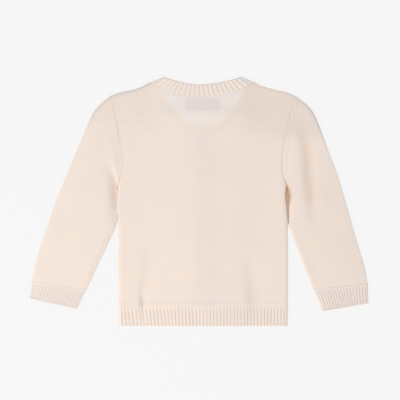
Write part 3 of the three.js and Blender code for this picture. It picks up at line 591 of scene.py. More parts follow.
def tape(name):
    g = Graph(name)
    u, v = g.cloth_uv()
    warp = g.math("MULTIPLY_ADD", g.math("SINE", g.math("MULTIPLY", u, 2 * math.pi / 0.55)), 0.5, 0.5)
    weft = g.math("MULTIPLY_ADD", g.math("SINE", g.math("MULTIPLY", v, 2 * math.pi / 0.45)), 0.5, 0.5)
    weave = g.math("MULTIPLY", warp, weft)
    fade = g.noise(g.vector(u, v), 0.12, 3.0, 0.6)
    tint = g.mix(fade, [*lin(226, 216, 207), 1], [*lin(236, 228, 220), 1])
    g.put(g.bsdf.inputs["Base Color"], g.scaled(tint, g.math("MULTIPLY_ADD", weave, 0.06, 0.95)))
    g.put(g.bsdf.inputs["Roughness"], g.math("MULTIPLY_ADD", fade, 0.15, 0.55))
    g.put(g.bsdf.inputs["Normal"], g.bump(weave, 0.00008))
    g.bsdf.inputs["Specular IOR Level"].default_value = 0.3
    return g.mat


def thread(name):
    g = Graph(name)
    co = g.tree.nodes.new("ShaderNodeTexCoord").outputs["Object"]
    twist = g.noise(co, 2600.0, 2.0, 0.6)
    tint = g.mix(twist, [*lin(228, 214, 202), 1], [*lin(243, 233, 224), 1])
    g.put(g.bsdf.inputs["Base Color"], tint)
    g.put(g.bsdf.inputs["Roughness"], g.math("MULTIPLY_ADD", twist, 0.2, 0.7))
    g.put(g.bsdf.inputs["Normal"], g.bump(twist, 0.00008))
    return g.mat


KNIT = cloth("cotton_knit", "knit")
SLEEVE_KNIT = cloth("cotton_knit_sleeve", "knit", 1.0, 0.6)
RIBBED = cloth("cotton_rib", "rib")
BUTTON = shell_button("pale_shell_button")
TAPE = tape("label_tape")
THREAD = thread("sewing_thread")


def dress(ob, material, node):
    ob.data.materials.append(material)
    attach(ob, "root")
    nodes = [node] if isinstance(node, str) else list(node)
    if nodes:
        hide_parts(*nodes)
    return ob


# ------------------------------------------------------------------ panels
def polyline(points):
    """The points by arc length: a function of 0 to 1, the fraction at each point, and the whole length."""
    seg = np.hypot(*np.diff(points, axis=0).T)
    s = np.concatenate([[0], np.cumsum(seg)])
    return (lambda t: np.stack([np.interp(t * s[-1], s, points[:, k]) for k in (0, 1)], -1)), s / s[-1], s[-1]


def patch_grid(bottom, top, left, right, us, vs, reach):
    """Plan grid between four edges; the curve of a side fades out over its reach."""
    B, T = bottom(us), top(us)
    L, R = left(vs), right(vs)
    ends = lambda side: (side(np.array([0.0]))[0], side(np.array([1.0]))[0])
    bend = []
    for side, s in ((left, L), (right, R)):
        a, b = ends(side)
        bend.append(s - (1 - vs)[:, None] * a - vs[:, None] * b)
    wl = (1 - smooth(us / reach)) if reach < 0.9 else clamp01(1 - us / reach)
    wr = (1 - smooth((1 - us) / reach)) if reach < 0.9 else clamp01(1 - (1 - us) / reach)
    V = vs[:, None, None]
    return ((1 - V) * B[None] + V * T[None] + bend[0][:, None] * wl[None, :, None] + bend[1][:, None] * wr[None, :, None])


def seam_curve(rows, n, offset):
    r = along_table(rows, np.linspace(0, 1, n))
    w = r[:, 2:] - r[:, :2]
    w /= np.hypot(*w.T)[:, None]
    return r[:, 2:] + w * offset


PANEL_Y0 = HEM_SEAM_Y + 0.02


def side_curve(side, extra=None):
    def f(v):
        y = PANEL_Y0 + (SHOULDER_Y - PANEL_Y0) * v
        x = side_x(y, side) + (0.02 if side == "left" else -0.02) * (y > UNDERARM_Y)
        if extra is not None:
            x = x + extra(y)
        return np.stack([x, y], -1)
    return f


def panel_stations(length, corners, edge_start=True, edge_end=True, step=2.3):
    us = set(stations(length, EDGE, step, edge_start, edge_end).tolist())
    for c in corners:
        us = {u for u in us if abs(u - c) * length > 0.8} | {float(c)}
    return np.array(sorted(us))


def drop_close(vals, gap):
    out = [vals[0]]
    for v in vals[1:]:
        if v - out[-1] > gap:
            out.append(v)
    out[-1] = vals[-1]
    return np.array(out)


NECK_SEAM_BACK = seam_curve(NECK_BACK, 90, 0.12)
OPENING = np.concatenate([  # the free edge of the neckband on the fronts, seen through the back
    along_table(NECK_FRONT_LEFT, np.linspace(0, 0.93, 60))[:, :2],
    along_table(NECK_FRONT_RIGHT, np.linspace(0, 0.80, 60))[::-1, :2]])
OPENING = OPENING[np.argsort(OPENING[:, 0])]


def painted_show_through(x, y):
    """Painted show-through on the back: paler where it lies over the neck opening, darker where it lies over the label.
    """
    edge = np.interp(x, OPENING[:, 0], OPENING[:, 1], left=300, right=300)
    # the opening is U-shaped: above its lower edge and between its sides
    inside = np.minimum(y - edge, 40)
    opening = smooth((inside + 2.5) / 6.0)
    # painted shadow where the label lies under the back
    lx = np.minimum(x - (CENTRE_X - LABEL_W / 2), CENTRE_X + LABEL_W / 2 - x)
    ly = np.minimum(y - (LABEL_Y - LABEL_H), LABEL_Y + 0.5 - y)
    label = smooth((lx + 1.5) / 4.0) * smooth((ly + 1.5) / 4.0)
    return opening, label


FRONT_RING = np.vstack([(NECK_FRONT_LEFT[:7, :2] + NECK_FRONT_LEFT[:7, 2:]) / 2, ((NECK_FRONT_RIGHT[:6, :2] + NECK_FRONT_RIGHT[:6, 2:]) / 2)[::-1]])


def dn_front(x, y):
    """Distance to the middle of the neckband on the fronts, under the back."""
    return nearest(x, y, FRONT_RING)[0]


def back_panel():
    closing = gap_fill("left", 0.05)
    left, right = side_curve("left", closing), side_curve("right")
    sl = shoulder_line("left")[::-1]
    sr = shoulder_line("right")
    pts = np.concatenate([left(np.array([1.0])), sl[1:-1], NECK_SEAM_BACK, sr[1:-1], right(np.array([1.0]))])
    top, fr, total = polyline(pts)
    c1, c2 = fr[len(sl) - 1], fr[len(sl) - 1 + len(NECK_SEAM_BACK) - 1]
    us = panel_stations(total, [c1, c2])
    height = SHOULDER_Y - PANEL_Y0
    vs = stations(height, EDGE, 2.3, True, True)
    bottom = lambda u: left(np.array([0.0])) + (right(np.array([0.0])) - left(np.array([0.0]))) * u[:, None]
    g = patch_grid(bottom, top, left, right, us, vs, 0.45)
    x, y = g[..., 0], g[..., 1]
    low, high = back_heights(x, y, WALL)
    # seams: hem, neck and armholes are drawn in a little
    hem = 0.07 * np.exp(-np.abs(y - PANEL_Y0) / 1.1)
    dn = nearest(x, y, NECK_SEAM_BACK)[0]
    neck = 0.18 * np.exp(-dn / 1.3)
    dl, dr = armhole_distance(x, y)
    arm = seam_strength("left", y) * np.exp(-dl / 1.3) + seam_strength("right", y) * np.exp(-dr / 1.5)
    arm = arm * smooth((y - 14) / 10)
    drawn = hem + neck + arm
    high = high - drawn
    low = np.minimum(low, high - 0.8)
    # painted show-through light over the neck opening, and painted shadow of the label under the back
    opening, label = painted_show_through(x, y)
    fold = clamp01(crease_depth("back", x, y) / 3.0)
    # painted shade where the front bands and the fronts' neckband lie under the back
    band = smooth((27 - np.abs(x - 11)) / 20) * smooth((112 - y) / 16)
    ring = np.exp(-((dn_front(x, y) / 5.0) ** 4)) * 0.7
    painted_layer_shade = clamp01(0.8 * band + ring)
    # painted shade along the drawn-in seams and in the creases
    groove = clamp01(0.04 * np.exp(-dn / 0.8) + 0.4 * arm + 0.1 * hem + 0.25 * fold ** 1.5)
    high = high + (RIB - WALL) * np.exp(-((y - PANEL_Y0) / 3.0) ** 2) * round_edge(folded_distance(x, y), 3.0)
    # "shade" below is painted shade over the yoke and in a strip under the neckband; "rim" is painted cool shade along
    # the shoulders
    ob = shell("back_panel_knit", np.stack([x, y, high], -1), np.stack([x, y, low], -1), np.stack([x, y], -1),
               {"groove": groove, "through": opening, "label": label, "painted_layer_shade": painted_layer_shade, "deep": gap_shade(x, y, high),
                "shade": clamp01(yoke_shade(x, y) + 0.5 * opening * np.exp(-((dn / 6.0) ** 2))), "rim": shoulder_shade(x, y)})
    return dress(ob, KNIT, "back_panel")


def gap_fill(side, room=0.25):
    """The cloth runs on across the gap beside the underarm, as far as the sleeve."""
    rows = SLEEVE[side][:6]
    ys = rows[:, 3]
    def f(y):
        inner = np.interp(y, ys[::-1], rows[::-1, 2])
        reach = inner - side_x(y, side)
        gap = room if side == "right" else -room
        k = smooth((y + (36 if side == "right" else 30)) / 9) * smooth((22 - y) / 4)
        return (reach - gap) * k
    return f


def gap_shade(x, y, z):
    """Warm shade low down in the open gap beside the wearer's right underarm."""
    near = np.exp(-((np.maximum(0, np.abs(x - side_x(y, "right") - 4.4) - 3) / 2.2) ** 2)) * smooth((y + 44) / 12) * smooth((32 - y) / 10)
    return 0.8 * near * smooth((6.4 - z) / 3.4) * (0.42 + 0.58 * smooth((y + 10) / 16))


def gap_flank(side, x, y, upper):
    """The same shade on the sleeve beside that gap, by the distance in from the sleeve's edge."""
    if side == "left":
        return np.zeros_like(x)
    high = smooth((y + 44) / 14) * smooth((36 - y) / 14) * (0.5 + 0.5 * smooth((y + 12) / 16))
    wide = 1.0 + 2.9 * np.exp(-(((y - 10) / 13) ** 2))
    return high * np.exp(-((inner_distance(side, x, y) / np.where(upper > 0, wide, 2.2)) ** 2))


def front_panel(side):
    is_left = side == "left"
    outer = side_curve(side, gap_fill(side))
    band_x = BAND_L - 0.2 if is_left else BAND_R + 0.2
    rows = np.vstack([NECK_BACK[0 if is_left else 8], NECK_FRONT_LEFT if is_left else NECK_FRONT_RIGHT])
    seam = seam_curve(rows, 120, 0.45)
    inside = seam[:, 0] < band_x if is_left else seam[:, 0] > band_x
    keep = seam[: np.argmin(inside) if not inside.all() else len(seam)]
    nxt = seam[len(keep)]
    last = keep[-1]
    corner = np.array([band_x, last[1] + (nxt[1] - last[1]) * (band_x - last[0]) / (nxt[0] - last[0])])
    sl = shoulder_line(side)[::-1]
    pts = np.concatenate([outer(np.array([1.0])), sl[1:-1], keep, corner[None]])
    top, fr, total = polyline(pts)
    neck_start = fr[len(sl) - 1]
    us = panel_stations(total, [neck_start], True, True, 2.8)
    vs = stations(SHOULDER_Y - PANEL_Y0, EDGE, 2.8, True, True)
    o0 = outer(np.array([0.0]))[0]
    b1 = np.array([band_x, o0[1]])
    bottom = lambda u: o0 + (b1 - o0) * u[:, None]
    inner = lambda v: b1 + (corner - b1) * v[:, None]
    g = patch_grid(bottom, top, outer, inner, us, vs, max(neck_start, 0.3))
    x, y = g[..., 0], g[..., 1]
    rise = rise_left(x) if is_left else rise_right(x)
    low, high = front_heights(x, y, WALL, rise)
    dn = nearest(x, y, np.vstack([keep, corner]))[0]
    drawn = 0.45 * np.exp(-np.abs(y - PANEL_Y0) / 1.1) + 0.5 * np.exp(-dn / 1.3) + 0.45 * np.exp(-np.abs(x - band_x) / 1.2)
    low = low + drawn * 0.8
    high = np.maximum(high - 0.4 * drawn, low + 0.7)
    # painted shade along the drawn-in seams
    groove = clamp01(0.5 * drawn)
    zero = np.zeros_like(x)
    ob = shell(f"front_{side}_knit", np.stack([x, y, high], -1), np.stack([x, y, low], -1), np.stack([x, y], -1),
               {"groove": groove, "through": zero, "label": zero, "deep": gap_shade(x, y, high)})
    return dress(ob, KNIT, f"front_{side}")


# ------------------------------------------------------------------ hem rib
def hem_rib(name, node, x0, x1, folded, level, wall, pitch0, pitch1, lean, through_back):
    """Rib grid from x0(v) to x1(v); level gives (low, high)."""
    width = float(x1(np.array([0.5]))[0] - x0(np.array([0.5]))[0])
    count = int(round(2 * width / (pitch0 + pitch1)))
    k = np.arange(count)
    r = np.sort(np.concatenate([(k[:, None] + RIB_AT[None]).ravel(), [count]]))
    mean = (pitch0 + pitch1) / 2
    us = (pitch0 * r + (pitch1 - pitch0) * r * r / (2 * count)) / (mean * count)
    extra = np.array([d / width for d in (0.15, 0.4, 0.8, 1.4, 2.2, 3.3, 4.6)])
    more = []
    if folded[0]:
        more.append(extra)
    if folded[1]:
        more.append(1 - extra)
    if more:
        more = np.concatenate(more)
        r = np.interp(np.sort(np.concatenate([us, more])), us, r)
        us = np.sort(np.concatenate([us, more]))
    ok = np.concatenate([[True], np.diff(us) * width > 0.03])
    us, r = us[ok], r[ok]
    h = HEM_RIB_H - 0.02
    vs = np.array([0, 0.25, 0.6, 1.1, 1.8, 2.8, 3.8, 4.8, 5.8, 8, 11, 14, 17, 20, 23, 25.5, 27.2, 28.3, 28.9, h]) / h
    Y = HEM_Y + h * vs
    a, b = x0(vs), x1(vs)
    X = a[:, None] + (b - a)[:, None] * us[None]
    Yg = np.repeat(Y[:, None], len(us), 1)
    edge = smooth(np.minimum(X - a[:, None] if folded[0] else 99, b[:, None] - X if folded[1] else 99) / 12.0)
    V = np.repeat(vs[:, None], len(us), 1)
    shift = lean(X) * (0.5 - V) + 0.35 * sway("hem", X, Yg * 0.5, 26)
    # the ribs gather a little into the crease
    shift = shift + 1.6 * np.exp(-(((X + 82) / 9) ** 2)) * np.sign(-82 - X) * smooth(np.abs(X + 82) / 6) * V * (1.0 if through_back else 0.0)
    X = X + shift * edge
    g = rib_shape(r, mean)[None] * np.ones_like(V)
    gn = rib_groove(r, mean)[None] * np.ones_like(V)
    gl = rib_shape(r + 0.5, mean)[None] * np.ones_like(V)
    fade = 0.12 + 0.88 * smooth((h * (1 - V)) / 8.5)
    near = 0.6 + 0.4 * smooth((h * V) / 1.5)
    depth = 0.8 * fade * near * (1 + 0.28 * sway("hem", X, Yg * 0.2, 42) + 0.1 * smooth((X - 20) / 60))
    low, high = level(X, Yg)
    roll = 1 - round_edge(h * V, 1.5)
    turn = 0.22 * np.exp(-(((h * V - 4.3) / 0.9) ** 2))
    join = 0.06 * np.exp(-(h * (1 - V)) / 1.1)
    Yg = Yg - 0.35 * (1 - g) * np.exp(-h * V / 1.2)
    high = high - depth * g - 0.85 * roll - turn - join
    low = low + 0.75 * depth * gl + 0.6 * roll
    low = np.minimum(low, high - 0.5)
    low = np.maximum(low, 0.0)
    # painted shade in the rib grooves, along the turn and at the seam
    groove = clamp01(0.6 * gn * fade + 0.25 * turn + 0.1 * join)
    zero = np.zeros_like(X)
    ob = shell(name, np.stack([X, Yg, high], -1), np.stack([X, Yg, low], -1), np.stack([r[None] * 5.0 * np.ones_like(V), Yg], -1),
               {"groove": groove, "through": zero, "label": zero})
    return dress(ob, RIBBED, node)


def hem_lean(x):
    return 2.8 * smooth((x + 113) / 14) * (1 - smooth((x + 55) / 40))


# ------------------------------------------------------------------ sleeves and cuffs
INNER = {side: along_table(SLEEVE[side], np.linspace(0, 1, 90))[:, 2:] for side in SLEEVE}


def inner_distance(side, x, y):
    """Distance to the inner edge of the sleeve, from the underarm to the cuff."""
    return nearest(x, y, INNER[side])[0]


def ring_points(row, t, up, top, inset, bow, side, crown, row_fade):
    """Points of one flat ring: t from the outer to the inner edge, over the top or below."""
    ox, oy, ix, iy = row
    width = math.hypot(ix - ox, iy - oy)
    dx, dy = (ix - ox) / width, (iy - oy) / width
    s = inset / width + t * (1 - 2 * inset / width)
    x = ox + dx * width * s + bow(s)
    y = oy + dy * width * s
    d = np.minimum(t, 1 - t) * width
    inner = np.where(t > 0.5, 1.0, 0.0)
    near = inner * smooth((y + 60) / 30)
    d = d + (np.minimum(d, inner_distance(side, x, y)) - d) * near
    tight = close_left(y) if side == "left" else 0.0 * y
    turn = np.where(inner > 0, EDGE_R + (0.45 - EDGE_R) * tight + (1.6 * smooth((y + 34) / 20) * smooth((30 - y) / 10) if side == "right" else 0.0), 3.6)
    e = round_edge(d, turn)
    lip = LIP - (0.7 if inset > 0 else 0)
    if up:
        top = top - yoke_drop(x, y)
        high = top + crown * (4 * t * (1 - t)) * row_fade - crease_depth(side, x, y) + 0.3 * sway(side, x, y, 70) * row_fade
        z = MID + lip + (high - inset - MID - lip) * e
    else:
        z = (MID - lip) + (inset - MID + lip) * e
    return x, y, z


def sleeve_stations(width):
    return stations(width, EDGE, 2.6)


def sleeve(side):
    rows = SLEEVE[side]
    sign = -1 if side == "left" else 1
    count = len(rows) - 1
    fine = np.concatenate([[0, 0.02, 0.05, 0.1, 0.17, 0.26, 0.36], np.linspace(0.5, count - 0.5, 96)[1:], count - np.array([0.32, 0.2, 0.11, 0.05, 0.018, 0.006])])
    fine = np.unique(fine)
    table = along_table(rows, fine / count)
    ts = sleeve_stations(90.0)
    first = rows[0]
    def bow_at(i):
        k = np.interp(i, range(len(ARMHOLE_FADE)), ARMHOLE_FADE)
        def f(s):
            y = first[1] + (first[3] - first[1]) * s
            return (side_x(y, side) - (first[0] + (first[2] - first[0]) * s)) * k + sign * 0.02 * (i == 0)
        return f
    rings = {}
    for inset in (0.0, WALL):
        ring = []
        for i, row in zip(fine, table):
            row = row.copy()
            if i == fine[-1]:
                row[1] += 0.02
                row[3] += 0.02
            fade = float(smooth(i / 1.5))
            top = BODY_TOP + (SLEEVE_TOP - BODY_TOP) * fade
            over = np.stack(ring_points(row, ts, True, top, inset, bow_at(i), side, 1.5, fade), -1)
            under = np.stack(ring_points(row, ts, False, top, inset, bow_at(i), side, 0, fade), -1)
            ring.append(np.concatenate([over, under[::-1]]))
        rings[inset] = np.array(ring)
    outer, inner = rings[0.0], rings[WALL]
    half = len(ts)
    X, Y = outer[..., 0], outer[..., 1]
    # the armhole seam is drawn in; on the right a welt follows it
    I = np.repeat(fine[:, None], outer.shape[1], 1)
    along = np.abs(X - side_x(Y, side)) * 0.97
    on = smooth((Y - 10) / 10)
    deep = seam_strength(side, Y) * np.exp(-along / (1.3 + (0.9 * smooth((38 - Y) / 16) if side == "right" else 0.0))) * on
    if side == "right":
        welt = np.exp(-(((along - 2.9) / 1.9) ** 2)) * 0.45 * on * smooth((150 - Y) / 20)
        second = 0.5 * np.exp(-np.abs(along - 6.0) / 0.8) * on * np.interp(Y, [20, 50, 147], [0.2, 1.0, 0.8])
    else:
        welt = np.exp(-(((along - 2.4) / 1.6) ** 2)) * 0.15 * on
        second = np.zeros_like(deep)
    # cuff seam
    step = np.abs(np.abs(I - count) * 20.0)
    join = 0.05 * np.exp(-step / 1.2)
    # the sleeve's own seam, just inside its inner edge
    T = np.concatenate([ts, ts[::-1]])[None] * np.ones_like(I)
    span = np.hypot(table[:, 2] - table[:, 0], table[:, 3] - table[:, 1])[:, None]
    inside = (1 - T) * span
    visible = smooth((I - 4.2) / 1.0) * (0.55 if side == "left" else 0.3)
    own = visible * np.exp(-np.abs(inside - 5.4) / 0.75)
    n = grid_normals(outer, True)
    c = np.array([0, 0, 3.0])
    out = np.sign((n * (outer - np.concatenate([X[..., None] * 0 + X.mean(1)[:, None, None], Y[..., None] * 0 + Y.mean(1)[:, None, None], np.full(X.shape + (1,), 3.0)], -1))).sum((0, 1, 2)))
    n = n * (1 if out >= 0 else -1)
    upper = np.zeros_like(X)
    upper[:, :half] = 1
    amount = (deep + second + join + own - welt) * (0.35 + 0.65 * upper)
    flat_ok = np.where(upper > 0, 1.0, 0.6)
    outer = outer - n * (amount * flat_ok)[..., None]
    outer[..., 2] = np.maximum(outer[..., 2], 0.0)
    inner[..., 2] = np.clip(inner[..., 2], 1.0, None)
    a, b = (rows[2, :2] + rows[2, 2:]) / 2, (rows[-1, :2] + rows[-1, 2:]) / 2
    ax = (b - a) / np.hypot(*(b - a))
    uvs = []
    for P in (outer, inner):
        v = (P[..., 0] * ax[0] + P[..., 1] * ax[1])
        u = (P[..., 0] * ax[1] - P[..., 1] * ax[0])
        uvs.append(np.stack([u, v], -1))
    valley = clamp01(crease_depth(side, X, Y) / 2.6) * upper
    # painted light along the right sleeve's outer edge
    painted_edge_light = np.exp(-((T * span) / 2.0) ** 2) * (0.9 * smooth((110 - Y) / 50) if side == "right" else 0.0)
    # painted cool shade along the upper outer edge
    rim = np.exp(-((T * span) / 4.0) ** 2) * smooth((Y - 70) / 60) * upper * (0.9 if side == "right" else 0.6)
    # painted shade in the seams and creases
    groove = clamp01(0.55 * deep + 0.4 * second + 0.55 * own + 0.1 * join + (0.62 if side == "left" else 0.45) * valley ** 1.6)
    zero = np.zeros_like(X)
    # on the right sleeve "shade" adds painted shade that grows towards the cuff, and "deep" painted warm shade beside
    # the underarm gap
    ob = tube(f"sleeve_{side}_knit", outer, inner, uvs[0], uvs[1],
              {"groove": (groove, zero), "through": (zero, zero), "label": (zero, zero), "deep": (gap_flank(side, X, Y, upper), zero),
               "shade": (clamp01(yoke_shade(X, Y) + (0.34 * smooth((70 - Y) / 70) if side == "right" else 0.0)), zero), "rim": (rim, zero), "painted_edge_light": (painted_edge_light, zero)})
    return dress(ob, SLEEVE_KNIT, f"sleeve_{side}")


def cuff(side):
    rows = CUFF[side]
    ribs = 18
    r = np.sort(np.concatenate([(np.arange(ribs)[:, None] + RIB_AT[None]).ravel(), [ribs]]))
    # the ribs are spread by the arc over the edge, so that they turn with it
    height = HEIGHT = 27.0
    vs = 1 - np.array([0, 0.25, 0.6, 1.1, 1.8, 2.8, 3.8, 4.8, 7, 10, 13, 16, 18.5, 20.5, 22.5, 24.2, 25.4, 26.2, 26.7, 27.0])[::-1] / 27.0
    vs = np.sort(vs)
    table = along_table(rows, vs)
    top = SLEEVE_TOP
    width = 78.0
    edge_t = np.array([0, 0.1, 0.3, 0.6, 1.0, 1.6, 2.4, 3.4, 4.6]) / width
    base = r / ribs
    t_all = np.unique(np.concatenate([base, edge_t, 1 - edge_t]).round(6))
    t_all = drop_close(t_all, 0.0002)
    rr = t_all * ribs
    rings = {}
    for inset in (0.0, RIB):
        ring = []
        for k, row in enumerate(table):
            row = row.copy()
            if k == 0:
                row[1] -= 0.02
                row[3] -= 0.02
            over = np.stack(ring_points(row, t_all, True, top, inset, lambda s: 0.0, side, 1.5, 1.0), -1)
            under = np.stack(ring_points(row, t_all, False, top, inset, lambda s: 0.0, side, 0, 1.0), -1)
            ring.append(np.concatenate([over, under[::-1]]))
        rings[inset] = np.array(ring)
    outer, inner = rings[0.0], rings[RIB]
    m = len(t_all)
    phase = np.concatenate([rr, (2 * ribs - rr)[::-1]])
    t_side = np.concatenate([t_all, t_all[::-1]])
    n = grid_normals(outer, True)
    mid = outer.mean(1, keepdims=True)
    if (n * (outer - mid)).sum() < 0:
        n = -n
    V = np.repeat(vs[:, None], outer.shape[1], 1)
    h = 27.0
    g = rib_shape(phase, 4.3, 0.95)[None] * np.ones_like(V)
    gn = rib_groove(phase, 4.3, 1.0)[None] * np.ones_like(V)
    fade = 0.12 + 0.88 * smooth(h * V / 7.5)
    near = 0.6 + 0.4 * smooth(h * (1 - V) / 1.5)
    roll = 1 - round_edge(h * (1 - V), 1.5)
    turn = 0.2 * np.exp(-(((h * (1 - V) - 4.3) / 0.9) ** 2))
    join = 0.04 * np.exp(-(h * V) / 1.1)
    amount = 0.66 * g * fade * near + 0.85 * roll + turn + join
    lower = np.zeros_like(V)
    lower[:, m:] = 1
    outer = outer - n * (amount * (1 - 0.15 * lower))[..., None]
    outer[..., 2] = np.maximum(outer[..., 2], 0.0)
    ni = grid_normals(inner, True)
    if (ni * (inner - inner.mean(1, keepdims=True))).sum() < 0:
        ni = -ni
    gi = rib_shape(phase + 0.5, 4.3, 0.55)[None] * np.ones_like(V)
    inner = inner + ni * (0.45 * gi + 0.5 * roll)[..., None]
    # the free edge is a little uneven, and pulls in at the grooves
    a = (rows[0, :2] + rows[0, 2:]) / 2
    b = (rows[-1, :2] + rows[-1, 2:]) / 2
    ax = (b - a) / np.hypot(*(b - a))
    pull = (0.35 * (1 - g) * np.exp(-h * (1 - V) / 1.2))[..., None] * np.array([ax[0], ax[1], 0])
    outer, inner = outer + pull, inner + pull
    # painted shade in the rib grooves and along the turn; "rim" is painted cool shade along the free edge and the outer
    # side
    groove = clamp01(0.5 * gn * fade + 0.2 * turn + 0.05 * join)
    zero = np.zeros_like(V)
    rim = 0.35 * np.exp(-((h * (1 - V)) / 2.6) ** 2) + 0.3 * np.exp(-((t_side * width) / 2.2) ** 2)[None]
    uv = np.stack([phase[None] * 5.0 * np.ones_like(V), V * h], -1)
    # "shade" is painted shade, stronger on the right cuff; "through" here is a plain cooler tint of the yarn
    ob = tube(f"cuff_{side}_rib", outer, inner, uv, uv, {"groove": (groove, groove), "through": (zero + 0.6, zero), "label": (zero, zero),
                                                         "shade": (zero + (0.62 if side == "right" else 0.42), zero), "rim": (clamp01(rim), zero)})
    return dress(ob, RIBBED, f"cuff_{side}")


# ------------------------------------------------------------------ neckband
def neck_strip():
    """Rulings of the whole strip, from its left end at the centre front round to its right end: free edge,
    seam edge and outward normal."""
    axis, radius = 3.7, 2.5
    F, S, N = [], [], []

    def ruled(r, z, n, cut=0.0):
        f, s = np.array([r[0], r[1], z]), np.array([r[2], r[3], z])
        w = (s - f) / np.linalg.norm(s - f)
        F.append(f)
        S.append(s - w * cut)
        N.append(n)

    def inward(row, r):
        w = math.hypot(row[2] - row[0], row[3] - row[1])
        ax, ay = (row[2] - row[0]) / w, (row[3] - row[1]) / w
        r = np.atleast_2d(r)
        return np.abs(((r[:, 0] + r[:, 2] - row[0] - row[2]) * ay - (r[:, 1] + r[:, 3] - row[1] - row[3]) * ax) / 2)

    ks = np.linspace(0, 0.3, 1201)

    def fold(rows, deg):
        a = math.radians(deg)
        depth = RIB / 2 + radius * (1 - math.cos(a))
        table = along_table(rows, ks)
        r = table[np.argmax(inward(rows[0], table) >= depth)]
        w = np.array([r[2] - r[0], r[3] - r[1]])
        w /= np.hypot(*w)
        out = np.array([w[1], -w[0], 0.0])
        if out[1] < 0:
            out = -out
        n = out * math.cos(a) + np.array([0, 0, math.sin(a)])
        ruled(r, axis + radius * math.sin(a), n, 0.1 * math.cos(a))

    up, down = np.array([0, 0, 1.0]), np.array([0, 0, -1.0])
    rows_l = np.vstack([NECK_BACK[0], NECK_FRONT_LEFT])
    rows_r = np.vstack([NECK_BACK[8], NECK_FRONT_RIGHT])
    for rows, rise in ((rows_l, rise_left),):
        t = along_table(rows, np.linspace(0, 1, 90))
        for r in t[inward(rows[0], t) > 4.3][::-1]:
            ruled(r, 1.2 + float(rise((r[0] + r[2]) / 2)), down)
    for deg in range(-80, 0, 10):
        fold(rows_l, deg)
    for deg in range(0, 90, 10):
        fold(NECK_BACK, deg)
    t = along_table(NECK_BACK, np.linspace(0, 1, 110))
    right = NECK_BACK[::-1]
    for r in t[(inward(NECK_BACK[0], t) > 4.3) & (inward(right[0], t) > 4.3)]:
        ruled(r, 6.2, up)
    for deg in range(80, -10, -10):
        fold(right, deg)
    for deg in range(-10, -90, -10):
        fold(rows_r, deg)
    t = along_table(rows_r, np.linspace(0, 1, 90))
    for r in t[inward(rows_r[0], t) > 4.3]:
        ruled(r, 1.2 + float(rise_right((r[0] + r[2]) / 2)), down)
    return np.array(F), np.array(S), np.array(N)


